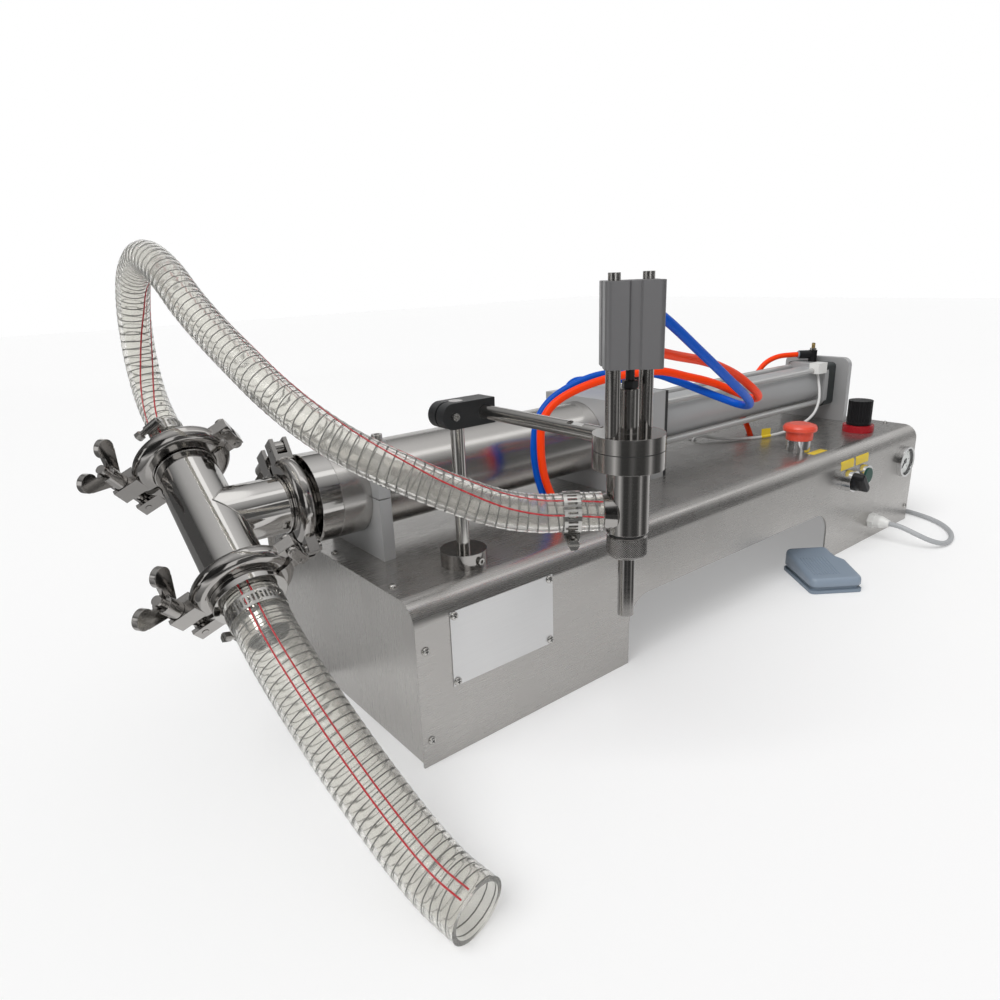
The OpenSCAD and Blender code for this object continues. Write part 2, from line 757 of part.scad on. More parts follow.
module casing() {
    tube_hole = air_od + 6;
    color("gainsboro") difference() {
        along_x() translate([0, 0, left]) linear_extrude(body_l) arch_shape(body_w, body_h, fold_r);
        along_x() translate([0, -past, left - past]) linear_extrude(body_l + 2 * past)
            arch_shape(body_w - 2 * sheet_t, deck_under + past, fold_r - sheet_t);
        to_front() translate([0, -past, 0]) linear_extrude(body_w + 2 * past, center = true)
            arch_shape(body_l - 2 * foot_l, arch_h + past, arch_r);
        at_deck_tabs() screw_hole(panel_screw_d, sheet_t + past);
        at_side_tabs() screw_hole(panel_screw_d, sheet_t + past);
        at_nameplate_corners() screw_hole(panel_screw_d, sheet_t + past);
        at_foot_screws() screw_hole(foot_screw_d, sheet_t + past);
        deck_hole(post_at, foot_screw_d + 2 * seat_gap);
        deck_hole(stop_at, panel_hole_d);
        deck_hole(regulator_at, regulator_neck_d + 2 * clear);
        deck_hole(blue_route[0], tube_hole);
        deck_hole(orange_route[0], tube_hole);
        deck_hole(rear_tube_route[9], tube_hole);
        deck_hole(front_tube_route[9], tube_hole);
        deck_hole(sensor_route[13], sensor_cable_od + 8);
        face_hole(right - selector_x, face_z, panel_hole_d);
        face_hole(right - button_x, face_z, panel_hole_d);
        face_hole(right - gauge_x, gauge_z, gauge_case_d + 2 * clear);
        face_hole(right - gland_x, gland_z, gland_d + 2 * clear);
    }
}

// The end plate at the tee end, with its screw tabs
module end_plate() {
    translate([left + plate_inset, 0, 0]) {
        along_x() linear_extrude(sheet_t)
            arch_shape(body_w - 2 * (sheet_t + plate_gap), deck_under - plate_gap, fold_r - sheet_t);
        for (y = deck_tab_y) translate([0, y - tab_w / 2, deck_under - sheet_t])
            cube([tab_l, tab_w, sheet_t]);
        for (t = [-1, 1], z = side_tab_z)
            translate([0, t * (body_w / 2 - 1.5 * sheet_t) - sheet_t / 2, z - tab_w / 2])
                cube([tab_l, sheet_t, tab_w]);
    }
}

module end_plates() {
    color("lightgray") difference() {
        for (s = [0, 1]) mirror([s, 0, 0]) end_plate();
        at_deck_tabs() screw_hole(panel_screw_d, 3 * sheet_t);
        at_side_tabs() screw_hole(panel_screw_d, 3 * sheet_t);
        translate([right - plate_inset - sheet_t - past, inlet_fitting_y, inlet_fitting_z])
            rod_x(elbow_d + 2 * clear, sheet_t + 2 * past);
    }
}

module fasteners() {
    color("silver") {
        at_deck_tabs() panel_screw(panel_screw_d, 2.5 * sheet_t);
        at_side_tabs() panel_screw(panel_screw_d, 2.5 * sheet_t);
        at_nameplate_corners() translate([0, 0, nameplate_t])
            panel_screw(panel_screw_d, nameplate_t + sheet_t);
        at_foot_screws() socket_screw(foot_screw_d, sheet_t + foot_screw_bite);
        for (y = [-cap_screw_y, cap_screw_y]) translate([support_mid, y, support_top])
            socket_screw(cap_screw_d, support_top - axis_z + cap_screw_bite);
        translate([post_at[0], post_at[1], deck_under]) rotate([180, 0, 0])
            socket_screw(foot_screw_d, sheet_t + foot_screw_bite);
        translate([post_at[0], post_at[1], body_h + collar_h / 2]) rotate([0, 0, collar_screw_turn])
            translate([collar_od / 2 - collar_flat, 0, 0]) rotate([0, 90, 0])
                socket_screw(cross_screw_d, collar_od / 2 - collar_flat - post_d / 2 - clear);
    }
}

module nameplate() {
    color("silver") difference() {
        translate([nameplate_x, front - nameplate_t, nameplate_z])
            cube([nameplate_l, nameplate_t, nameplate_h]);
        at_nameplate_corners() translate([0, 0, nameplate_t]) screw_hole(panel_screw_d, nameplate_t + past);
    }
}

module tube_seat(x, l) { translate([x, 0, axis_z]) rod_x(tube_od + 2 * seat_gap, l); }

module cap_screw_holes() {
    for (y = [-cap_screw_y, cap_screw_y]) translate([support_mid, y, support_top])
        screw_hole(cap_screw_d, support_top - axis_z + cap_screw_bite + past);
}

module foot_screw_holes() { at_foot_screws() screw_hole(foot_screw_d, sheet_t + foot_screw_bite + past); }

module front_support() {
    color("darkgray") difference() {
        translate([support_near, -support_w / 2, body_h])
            cube([support_t, support_w, axis_z - split_gap / 2 - body_h]);
        tube_seat(support_near - past, support_t + 2 * past);
        cap_screw_holes();
        foot_screw_holes();
    }
}

module front_support_cap() {
    color("darkgray") difference() {
        translate([support_near, -support_w / 2, axis_z + split_gap / 2])
            cube([support_t, support_w, support_top - axis_z - split_gap / 2]);
        tube_seat(support_near - past, support_t + 2 * past);
        cap_screw_holes();
    }
}

module product_tube() {
    color("lightsteelblue") translate([tube_x, 0, axis_z]) difference() {
        rod_x(tube_od, tube_end - tube_x);
        translate([-past, 0, 0]) rod_x(tube_id, tube_end - tube_x + 2 * past);
    }
}

module tube_end_cap() {
    r = tube_od / 2;
    spigot_r = tube_id / 2 - seat_gap;
    bore_r = pipe_bore / 2;
    color("silver") translate([tube_x, 0, axis_z]) rotate([0, 90, 0]) rotate_extrude() polygon([
        [bore_r, -end_cap_l], [ferrule_r, -end_cap_l], [ferrule_r, -end_cap_l + ferrule_t],
        [pipe_r, -end_cap_l + ferrule_neck], [pipe_r, -end_cap_disc], [r, -end_cap_disc], [r, 0],
        [spigot_r, 0], [spigot_r, spigot_l], [bore_r, spigot_l]]);
}

module centre_block() {
    color("darkgray") difference() {
        translate([block_near, -support_w / 2, body_h]) cube([block_l, support_w, block_top - body_h]);
        tube_seat(block_near - past, seat_depth + past);
        translate([block_near, 0, axis_z]) rod_x(rod_passage_d, block_l + past);
        translate([block_far - tie_bite, 0, 0]) at_ties() rod_x(tie_d + 2 * seat_gap, tie_bite + past);
        foot_screw_holes();
    }
}

module cylinder_cap(x, inner_side) {
    difference() {
        translate([x, 0, axis_z]) along_x() linear_extrude(cyl_cap_t)
            rounded_square(cyl_cap_w, cyl_cap_w, cyl_cap_r);
        translate([inner_side, 0, axis_z]) rotate([0, 90, 0])
            cylinder(d = cyl_od + 2 * seat_gap, h = 2 * cyl_seat, center = true);
        translate([x - past, 0, 0]) at_ties() rod_x(tie_d + 2 * seat_gap, cyl_cap_t + 2 * past);
        translate([x + cyl_cap_t / 2, 0, port_top - port_depth]) cylinder(d = port_d, h = port_depth + past);
    }
}

module cylinder_caps() {
    color("dimgray") {
        difference() {
            cylinder_cap(block_far, cyl_near);
            translate([block_far - past, 0, axis_z]) rod_x(rod_d + 2 * run_gap, cyl_cap_t + 2 * past);
        }
        cylinder_cap(cyl_far, cyl_far);
    }
}

module cylinder_tube() {
    l = cyl_l + 2 * cyl_seat - 2 * seat_gap;
    color("silver") translate([cyl_near - cyl_seat + seat_gap, 0, axis_z]) difference() {
        rod_x(cyl_od, l);
        translate([-past, 0, 0]) rod_x(cyl_bore, l + 2 * past);
    }
}

module tie_rods() {
    start = block_far - tie_bite + past;
    color("lightgray") at_ties() {
        translate([start, 0, 0]) rod_x(tie_d, bracket_far + tie_nut_t + 3 - start);
        translate([bracket_far, 0, 0]) rotate([0, 90, 0]) cylinder(d = tie_nut_d, h = tie_nut_t, $fn = 6);
    }
}

module rear_bracket() {
    color("darkgray") difference() {
        translate([bracket_near, 0, body_h]) along_x() linear_extrude(bracket_t)
            arch_shape(support_w, block_top - body_h - bracket_drop, bracket_r);
        translate([bracket_near - past, 0, 0]) at_ties() rod_x(tie_d + 2 * seat_gap, bracket_t + 2 * past);
        foot_screw_holes();
    }
}

// The clip sits outside the near top tie rod
module reed_sensor() {
    color("whitesmoke") difference() {
        translate([sensor_x, -sensor_at, axis_z + sensor_at])
            translate([0, -sensor_w / 2, -sensor_w / 2]) cube([sensor_l, sensor_w, sensor_w]);
        at_ties() translate([sensor_x - past, 0, 0]) rod_x(tie_d + 2 * seat_gap, sensor_l + 2 * past);
    }
}

module sensor_cable() { color("gray") cord(along_route(sensor_route, 10), sensor_cable_od, 8); }

// A push-in elbow on a port
module elbow(rise) {
    difference() {
        union() {
            translate([0, 0, -port_depth + seat_gap]) cylinder(d = port_d - 2 * seat_gap, h = port_depth + 3);
            cylinder(d = elbow_d, h = rise + elbow_d / 2);
            translate([-elbow_l, 0, rise]) rod_x(elbow_d, elbow_l);
        }
        translate([-elbow_l - past, 0, rise]) rod_x(air_od + 2 * seat_gap, elbow_bite + past);
    }
}

// A flow control's needle screw and lock nut, on top of the elbow
module needle_screw(rise) {
    translate([0, 0, rise + elbow_d / 2]) {
        cylinder(d = 9, h = 3, $fn = 6);
        cylinder(d = 5, h = 11);
    }
}

module air_fittings() {
    color("dimgray") {
        translate([front_port_x, 0, port_top]) elbow(front_elbow_rise);
        translate([rear_port_x, 0, port_top]) rotate(-rear_turn) {
            elbow(rear_elbow_rise);
            needle_screw(rear_elbow_rise);
        }
        translate([right - plate_inset, inlet_fitting_y, inlet_fitting_z]) difference() {
            union() {
                translate([-elbow_l, 0, 0]) rod_x(elbow_d, elbow_l + 18);
                rod_x(elbow_d + 6, 8);
            }
            translate([18 - elbow_bite, 0, 0]) rod_x(air_od + 2 * seat_gap, elbow_bite + past);
        }
    }
}

module cylinder_air_tubes() {
    color("orangered") cord(along_route(rear_tube_route, 2 * air_od), air_od, 8);
    color("royalblue") cord(along_route(front_tube_route, 2 * air_od), air_od, 8);
}

module post_collar() {
    color("silver") translate([post_at[0], post_at[1], body_h]) difference() {
        cylinder(d = collar_od, h = collar_h);
        translate([0, 0, -past]) cylinder(d = post_d + 2 * seat_gap, h = collar_h + 2 * past);
        rotate([0, 0, collar_screw_turn]) translate([collar_od / 2 - collar_flat, 0, collar_h / 2]) {
            rotate([0, 90, 0]) cylinder(d = 2 * cross_screw_d, h = 2 * collar_flat);
            rotate([0, 90, 0]) screw_hole(cross_screw_d, collar_od / 2);
        }
    }
}

module post() {
    color("silver") translate([post_at[0], post_at[1], body_h]) difference() {
        cylinder(d = post_d, h = post_top - body_h);
        translate([0, 0, -past]) cylinder(d = foot_screw_d + 2 * seat_gap, h = foot_screw_bite + 2 * past);
    }
}

module at_tee() { translate([tee_x, 0, axis_z]) children(); }

// Z of a child points down the run, towards the suction hose
module at_run() { at_tee() rotate([run_tilt, 0, 0]) children(); }

// The rim's face lies on the XY plane, and the pipe is below it
module ferrule() {
    bore_r = pipe_bore / 2;
    rotate_extrude() polygon([[bore_r, 0], [ferrule_r, 0], [ferrule_r, -ferrule_t],
                              [pipe_r, -ferrule_neck], [bore_r, -ferrule_neck]]);
}

module tee() {
    color("silver") difference() {
        union() {
            at_run() cylinder(d = pipe_od, h = 2 * tee_reach, center = true);
            at_run() for (s = [0, 1]) mirror([0, 0, s]) translate([0, 0, tee_reach]) ferrule();
            at_tee() rod_x(pipe_od, tee_reach);
            at_tee() translate([tee_reach, 0, 0]) rotate([0, 90, 0]) ferrule();
        }
        at_run() translate([0, 0, -outlet_seat]) cylinder(d = pipe_bore, h = outlet_seat + tee_reach + past);
        at_run() translate([0, 0, -tee_reach - past])
            cylinder(d = pipe_bore, h = tee_reach + past - outlet_seat - outlet_seat_t);
        at_run() cylinder(d = seat_bore, h = 2 * tee_reach, center = true);
        at_tee() rod_x(pipe_bore, tee_reach + past);
    }
}

// Each clamped joint: Z of a child lies along the pipe, from the middle of the gasket
module at_run_joint(side) { at_run() translate([0, 0, side * (tee_reach + gasket_t / 2)]) children(); }
module at_branch_joint() { at_tee() translate([tee_reach + gasket_t / 2, 0, 0]) along_x() children(); }

module gasket() {
    difference() {
        cylinder(d = ferrule_od - 1, h = gasket_t, center = true);
        cylinder(d = pipe_bore, h = gasket_t + 2 * past, center = true);
    }
}

module gaskets() {
    color("white") {
        for (side = [-1, 1]) at_run_joint(side) gasket();
        at_branch_joint() gasket();
    }
}

// Each clamp: X of a child points at its hinge
module at_clamps() {
    for (side = [-1, 1]) at_run_joint(side) rotate([0, 0, run_clamp_turn]) children();
    at_branch_joint() rotate([0, 0, branch_clamp_turn]) children();
}

// Half of a clamp ring, over a half turn less the split
module clamp_arc() {
    rotate([0, 0, clamp_split]) rotate_extrude(angle = 180 - 2 * clamp_split) difference() {
        union() {
            translate([clamp_ring_r, 0]) circle(d = clamp_w);
            translate([clamp_bore_r, -clamp_w / 2]) square([clamp_ring_r - clamp_bore_r, clamp_w]);
        }
        inner = clamp_ring_r - clamp_w / 2 - past;
        slope = (clamp_groove_r - inner) * ferrule_slope;
        polygon([[inner, -clamp_half_t - slope], [clamp_groove_r, -clamp_half_t],
                 [clamp_groove_r, clamp_half_t], [inner, clamp_half_t + slope]]);
    }
}

module hinge_lug() {
    difference() {
        translate([clamp_ring_r + 3, hinge_rise - 5, -lug_t / 2])
            cube([hinge_r - clamp_ring_r + 2, 10, lug_t]);
        translate([hinge_r, hinge_rise, 0])
            cylinder(d = hinge_pin_d + 2 * seat_gap, h = lug_t + 2 * past, center = true);
    }
}

// The half that takes the wing nut: its lug is slotted for the bolt
module nut_half() {
    slot = swing_d + 2 * clear;
    clamp_arc();
    hinge_lug();
    difference() {
        translate([-bolt_r - 8, bolt_lug_low, -clamp_w / 2])
            cube([bolt_r + 8 - clamp_ring_r, bolt_lug_h, clamp_w]);
        translate([-bolt_r - 8 - past, bolt_lug_low - past, -slot / 2])
            cube([8 + past + slot / 2, bolt_lug_h + 2 * past, slot]);
    }
}

// The half that carries the swing bolt between two cheeks
module pin_half() {
    slot = swing_d + 2 * clear;
    mirror([0, 1, 0]) {
        clamp_arc();
        hinge_lug();
    }
    difference() {
        translate([-bolt_r - 7, bolt_pin_y - 7, -clamp_w / 2]) cube([bolt_r + 7 - clamp_ring_r, 14, clamp_w]);
        translate([-bolt_r - 7 - past, bolt_pin_y - 7 - past, -slot / 2])
            cube([15 + past, 14 + 2 * past, slot]);
        translate([-bolt_r, bolt_pin_y, 0])
            cylinder(d = hinge_pin_d + 2 * seat_gap, h = clamp_w + 2 * past, center = true);
    }
}

module clamp_halves() {
    color("silver") at_clamps() {
        nut_half();
        pin_half();
    }
}

// Two links with their pins, and the swing bolt with its eye and pin
module clamp_hardware() {
    pin_l = lug_t + 2 * link_t + 2;
    color("gray") at_clamps() {
        for (s = [-1, 1]) {
            translate([hinge_r, s * hinge_rise, 0]) cylinder(d = hinge_pin_d, h = pin_l, center = true);
            translate([hinge_r, 0, s * (lug_t / 2 + link_t / 2 + seat_gap)]) {
                cube([9, 2 * hinge_rise, link_t], center = true);
                for (t = [-1, 1]) translate([0, t * hinge_rise, 0])
                    cylinder(d = 9, h = link_t, center = true);
            }
        }
        translate([-bolt_r, bolt_pin_y, 0]) {
            cylinder(d = swing_d + 4, h = swing_d, center = true);
            cylinder(d = hinge_pin_d, h = clamp_w + 1, center = true);
            rotate([-90, 0, 0]) cylinder(d = swing_d, h = bolt_end - bolt_pin_y);
        }
    }
}

// A wing nut on its swing bolt, in the frame of its clamp
module wing_nut() {
    seat_y = bolt_lug_low + bolt_lug_h + clear;
    color("gray") translate([-bolt_r, seat_y, 0]) rotate([-90, 0, 0]) difference() {
        union() {
            cylinder(d = wing_hub_d, h = wing_hub_h);
            rotate([0, 0, 45]) rotate([90, 0, 0]) for (s = [0, 1]) mirror([s, 0, 0])
                linear_extrude(wing_t, center = true) {
                    polygon([[3, 6], [7, 6], [21, 22], [12, 32], [3, 15]]);
                    translate([16, 29]) circle(r = 8);
                }
        }
        translate([0, 0, -past]) cylinder(d = swing_d + 2 * run_gap, h = bolt_end);
    }
}

module wing_nut_upper() { at_run_joint(-1) rotate([0, 0, run_clamp_turn]) wing_nut(); }
module wing_nut_lower() { at_run_joint(1) rotate([0, 0, run_clamp_turn]) wing_nut(); }
module wing_nut_branch() { at_branch_joint() rotate([0, 0, branch_clamp_turn]) wing_nut(); }

// The barb of the product hose narrows behind its ferrule: its face lies on the XY plane
module hose_barb() {
    r = hose_id / 2 - barb_gap;
    end = hose_start - clear;
    rotate_extrude() polygon([
        [pipe_bore / 2, 0], [ferrule_r, 0], [ferrule_r, ferrule_t], [pipe_r, ferrule_neck],
        [pipe_r, barb_neck], [hose_od / 2, end], [r, end], [r, hose_start + barb_l],
        [r - barb_wall, hose_start + barb_l], [r - barb_wall, end]]);
}

// The barb of the suction hose has a collar behind its ferrule, and its mouth seats the inlet ball
module suction_barb() {
    r = suction_id / 2 - barb_gap;
    end = suction_start - clear;
    rotate_extrude() polygon([
        [seat_bore / 2, 0], [ferrule_r, 0], [ferrule_r, ferrule_t], [pipe_r, ferrule_neck],
        [pipe_r, barb_neck], [suction_collar_d / 2, barb_neck], [suction_collar_d / 2, end], [r, end],
        [r, suction_start + barb_l], [seat_bore / 2, suction_start + barb_l]]);
}

module hose_barbs() {
    color("silver") {
        at_run() mirror([0, 0, 1]) translate([0, 0, run_out]) hose_barb();
        at_run() translate([0, 0, run_out]) suction_barb();
    }
}

// A worm clamp round a hose that lies along Z: its housing is on the Y side
module hose_clamp(d) {
    r = d / 2 + hose_clamp_gap;
    difference() {
        union() {
            cylinder(r = r + hose_clamp_t, h = hose_clamp_w, center = true);
            translate([-7, 0, -hose_clamp_w / 2]) cube([14, r + 8, hose_clamp_w]);
        }
        cylinder(r = r, h = hose_clamp_w + 2 * past, center = true);
    }
    translate([-9, r + 4.5, 0]) rod_x(6, 21);
    translate([12, r + 4.5, 0]) rotate([0, 90, 0]) cylinder(d = 8.5, h = 5, $fn = 6);
}

module hose_clamps() {
    color("lightgray") {
        at_run() translate([0, 0, -run_out - hose_start - 2 * hose_clamp_in]) rotate([180, 0, 225])
            hose_clamp(hose_od);
        at_run() translate([0, 0, run_out + suction_start + hose_clamp_in]) rotate([0, 0, 160])
            hose_clamp(suction_od);
    }
}

module product_hose() { color("honeydew") ribbed_hose(hose_route, hose_od, hose_id); }

module suction_hose() { color("honeydew") ribbed_hose(suction_route, suction_od, suction_id); }

// The fixed part of a panel control: Z points out of the panel's face
module control_body() {
    neck_d = panel_hole_d - 2 * clear;
    neck_l = sheet_t + control_neck;
    translate([0, 0, -neck_l]) cylinder(d = neck_d, h = neck_l);
    translate([0, 0, -sheet_t - 5]) cylinder(d = panel_hole_d + 8, h = 5);
    translate([-control_block / 2, -control_block / 2, -neck_l - control_block]) cube(control_block);
}

module at_stop() { translate([stop_at[0], stop_at[1], body_h]) children(); }
module at_selector() { translate([right - selector_x, front, face_z]) to_front() children(); }
module at_button() { translate([right - button_x, front, face_z]) to_front() children(); }
module at_gauge() { translate([right - gauge_x, front, gauge_z]) to_front() children(); }

module blind_bore(d, top, depth) { translate([0, 0, top - depth]) cylinder(d = d, h = depth + past); }

module control_collars() {
    color("silver") {
        at_stop() difference() {
            union() {
                control_body();
                cylinder(d = stop_collar_d, h = stop_collar_h);
            }
            blind_bore(plunger_d + 2 * run_gap, stop_collar_h, plunger_l + stop_gap);
        }
        at_selector() difference() {
            union() {
                control_body();
                cylinder(d = bezel_od, h = selector_bezel_h);
            }
            blind_bore(spindle_d + 2 * run_gap, selector_bezel_h, spindle_l + clear);
        }
        at_button() difference() {
            union() {
                control_body();
                cylinder(d = bezel_od, h = button_bezel_h);
            }
            blind_bore(button_d + 2 * run_gap, button_bezel_h,
                       button_h - button_proud + button_travel + clear);
        }
    }
}

module stop_head() {
    skirt_r = stop_od / 2 - 4.5;
    low = stop_collar_h + stop_gap;
    high = low + stop_skirt_h + stop_head_h;
    color("red") at_stop() {
        translate([0, 0, stop_collar_h - plunger_l]) cylinder(d = plunger_d, h = plunger_l + stop_gap);
        rotate_extrude() polygon([
            [0, low], [skirt_r, low], [skirt_r, low + stop_skirt_h], [stop_od / 2 - 1, low + stop_skirt_h],
            [stop_od / 2, low + stop_skirt_h + 1.5], [stop_od / 2, high - 5], [stop_od / 2 - 2, high - 2],
            [stop_od / 2 - 8, high], [0, high]]);
    }
}

module selector_handle() {
    low = selector_bezel_h + clear;
    color("black") at_selector() {
        translate([0, 0, selector_bezel_h - spindle_l]) cylinder(d = spindle_d, h = spindle_l + clear);
        translate([0, 0, low]) cylinder(d = bezel_od - 5, h = 5);
        rotate([0, 0, 40]) translate([-6, -16, low]) cube([12, 32, selector_h]);
    }
}

module push_button() {
    color("seagreen") at_button() translate([0, 0, button_bezel_h + button_proud - button_h])
        cylinder(d = button_d, h = button_h);
}

module at_regulator() { translate([regulator_at[0], regulator_at[1], body_h]) children(); }

module regulator_body() {
    color("firebrick") at_regulator() difference() {
        union() {
            cylinder(d = regulator_ring_d, h = regulator_ring_h);
            translate([0, 0, -sheet_t]) cylinder(d = regulator_neck_d, h = sheet_t);
            translate([0, 0, -sheet_t - regulator_body_h])
                cylinder(d = regulator_body_d, h = regulator_body_h);
        }
        blind_bore(spindle_d + 2 * run_gap, regulator_ring_h, spindle_l + clear);
    }
}

module regulator_knob() {
    color("black") at_regulator() {
        translate([0, 0, regulator_ring_h - spindle_l]) cylinder(d = spindle_d, h = spindle_l + clear);
        translate([0, 0, regulator_ring_h + clear]) difference() {
            cylinder(d = knob_od, h = knob_h);
            for (a = [0 : 15 : 345]) rotate([0, 0, a]) translate([knob_od / 2 + 0.4, 0, 4])
                cylinder(d = 2.4, h = knob_h, $fn = 24);
        }
    }
}

module gauge_case() {
    color("silver") at_gauge() difference() {
        union() {
            cylinder(d = gauge_od, h = gauge_depth);
            translate([0, 0, -gauge_case_l]) cylinder(d = gauge_case_d, h = gauge_case_l);
        }
        blind_bore(gauge_od - 2 * gauge_rim, gauge_depth, gauge_recess);
        blind_bore(3 + 2 * run_gap, gauge_depth, gauge_recess + 4);
    }
}

// The needle rests at the start of the scale, at the lower left
module gauge_needle() {
    floor_z = gauge_depth - gauge_recess;
    color("black") at_gauge() {
        translate([0, 0, floor_z - 3]) cylinder(d = 3, h = 3 + clear);
        translate([0, 0, floor_z + clear]) {
            cylinder(d = 6, h = 1.5 * needle_t);
            rotate([0, 0, 135]) linear_extrude(needle_t)
                polygon([[-1.4, -5], [1.4, -5], [0.5, needle_l], [-0.5, needle_l]]);
        }
    }
}

module cable_gland() {
    color("white") translate([right - gland_x, front, gland_z]) to_front() {
        cylinder(d = gland_hex_d, h = gland_hex_h, $fn = 6);
        cylinder(d = gland_d + 2, h = gland_l - 12);
        translate([0, 0, gland_l - 12]) cylinder(d1 = gland_d + 2, d2 = cable_od + 3, h = 12);
        translate([0, 0, -sheet_t]) cylinder(d = gland_d, h = sheet_t);
        translate([0, 0, -sheet_t - 6]) cylinder(d = gland_hex_d, h = 6, $fn = 6);
    }
}

module mains_cable() { color("gray") cord(along_route(cable_route, 2 * cable_od), cable_od, 8); }

module mains_coil() { color("gray") cord(coil_path, cable_od, coil_sides); }

// A moulded two-pin plug that lies on the bench
module mains_plug() {
    color("dimgray") translate([plug_at[0], plug_at[1], plug_body_h / 2]) {
        along_x() linear_extrude(plug_body_l) rounded_square(plug_body_w, plug_body_h, 4);
        for (s = [-1, 1]) translate([plug_body_l, s * plug_pin_pitch / 2, 0]) rod_x(plug_pin_d, plug_pin_l);
    }
}

module at_pedal() { translate([pedal_at[0], pedal_at[1], 0]) rotate([0, 0, pedal_turned]) children(); }

module pedal_base() {
    ear_y = pedal_w / 2 - pedal_wall - clear - pedal_ear_t;
    color("slategray") at_pedal() {
        linear_extrude(pedal_plate_t) rounded_square(pedal_l, pedal_w, 6);
        for (s = [0, 1]) mirror([0, s, 0]) translate([pedal_pin_x - 6, ear_y, 0])
            cube([12, pedal_ear_t, pedal_pin_z + 6]);
        translate([pedal_pin_x, pedal_w / 2 - clear, pedal_pin_z]) to_front()
            cylinder(d = pedal_pin_d, h = pedal_w - 2 * clear);
    }
}

// A wedge across the pedal, with a height at its front and at its hinge end
module pedal_wedge(inset, low, front_h, back_h) {
    to_front() linear_extrude(pedal_w - 2 * inset, center = true) polygon([
        [-pedal_l / 2 + inset, low], [pedal_l / 2 - inset, low],
        [pedal_l / 2 - inset, back_h], [-pedal_l / 2 + inset, front_h]]);
}

module pedal_treadle() {
    color("lightslategray") at_pedal() difference() {
        intersection() {
            pedal_wedge(0, pedal_skirt, pedal_front_h, pedal_back_h);
            linear_extrude(2 * pedal_back_h) rounded_square(pedal_l, pedal_w, 6);
        }
        pedal_wedge(pedal_wall, pedal_skirt - past, pedal_front_h - pedal_wall, pedal_back_h - pedal_wall);
        translate([pedal_pin_x, 0, pedal_pin_z]) to_front()
            cylinder(d = pedal_pin_d + 2 * run_gap, h = pedal_w + 2 * past, center = true);
    }
}

// Two solenoid valves on a bar under the deck
module valve_manifold() {
    color("darkgray") translate([0, body_w / 4, deck_under]) {
        translate([-bar_l / 2, -bar_w / 2, -bar_h]) cube([bar_l, bar_w, bar_h]);
        for (x = [-bar_l / 4, bar_l / 4]) translate([x - bar_h / 2, -valve_w / 2, -bar_h - valve_h])
            cube([bar_h, valve_w, valve_h + 1]);
    }
}

module at_nozzle() { translate([nozzle_at[0], nozzle_at[1], 0]) children(); }
module at_actuator() { at_nozzle() rotate([0, 0, nozzle_turn]) children(); }
module at_pillars() {
    for (s = [-1, 1]) at_actuator() translate([s * pillar_pitch / 2, s * pillar_pitch / 2, 0]) children();
}

module cross_screw_line() { translate([cross_screw_x, cross_near, arm_z]) to_front() children(); }
module arm_screw_line() { translate([cross_right, post_at[1], arm_z]) rotate([0, 90, 0]) children(); }

module cross_clamp() {
    color("black") difference() {
        translate([0, cross_far, arm_z]) to_front() linear_extrude(cross_h) {
            translate([cross_screw_x, 0]) circle(d = cross_h);
            translate([cross_screw_x, -cross_h / 2]) square([cross_right - cross_screw_x, cross_h]);
        }
        translate([post_at[0], post_at[1], arm_z])
            cylinder(d = post_d + 2 * run_gap, h = cross_h + 2 * past, center = true);
        translate([arm_x, cross_far + past, arm_z]) to_front()
            cylinder(d = arm_d + 2 * seat_gap, h = cross_h + 2 * past);
        translate([post_at[0] - cross_h, post_at[1] - cross_slit / 2, arm_z - cross_h])
            cube([cross_h, cross_slit, 2 * cross_h]);
        cross_screw_line() screw_hole(cross_screw_d, cross_h + past);
        arm_screw_line() screw_hole(cross_screw_d, cross_h / 2);
    }
}

module arm_screws() {
    color("gray") {
        cross_screw_line() socket_screw(cross_screw_d, cross_h - 4);
        arm_screw_line() socket_screw(cross_screw_d, cross_h / 2 - arm_d / 2 - clear);
        at_pillars() translate([0, 0, actuator_top])
            socket_screw(pillar_bolt_d, actuator_h + pillar_bolt_bite - 2);
    }
}

module arm_rod() {
    end = cross_far + 3;
    flat_at = arm_tip + 16;
    color("silver") translate([arm_x, 0, arm_z]) {
        difference() {
            translate([0, end, 0]) to_front() cylinder(d = arm_d, h = end - arm_tip);
            for (s = [0, 1]) mirror([0, 0, s])
                translate([-arm_d, flat_at, arm_d / 2 - arm_flat_depth]) cube([2 * arm_d, arm_flat_l, arm_d]);
        }
        translate([0, arm_tip, 0]) to_front() cylinder(d = arm_stud_d, h = arm_stud_l);
    }
}

module stem_bore(low, high) {
    translate([0, 0, low]) cylinder(d = stem_d + 2 * run_gap, h = high - low);
}

module nozzle_flange() {
    color("silver") difference() {
        at_nozzle() {
            translate([0, 0, flange_mid]) cylinder(d = flange_od, h = flange_up_t);
            translate([0, 0, flange_top]) cylinder(d = guide_d, h = guide_h);
        }
        at_nozzle() stem_bore(flange_mid - past, flange_top + guide_h + past);
        at_pillars() translate([0, 0, flange_top]) screw_hole(pillar_bolt_d, pillar_stud + clear);
        translate([arm_x, arm_tip + past, arm_z]) to_front()
            cylinder(d = arm_stud_d + 2 * seat_gap, h = arm_stud_l + 2 * past);
    }
}

module at_inlet() {
    at_nozzle() translate([0, 0, inlet_z]) rotate([0, 0, inlet_turn]) rotate([0, 90, 0]) children();
}

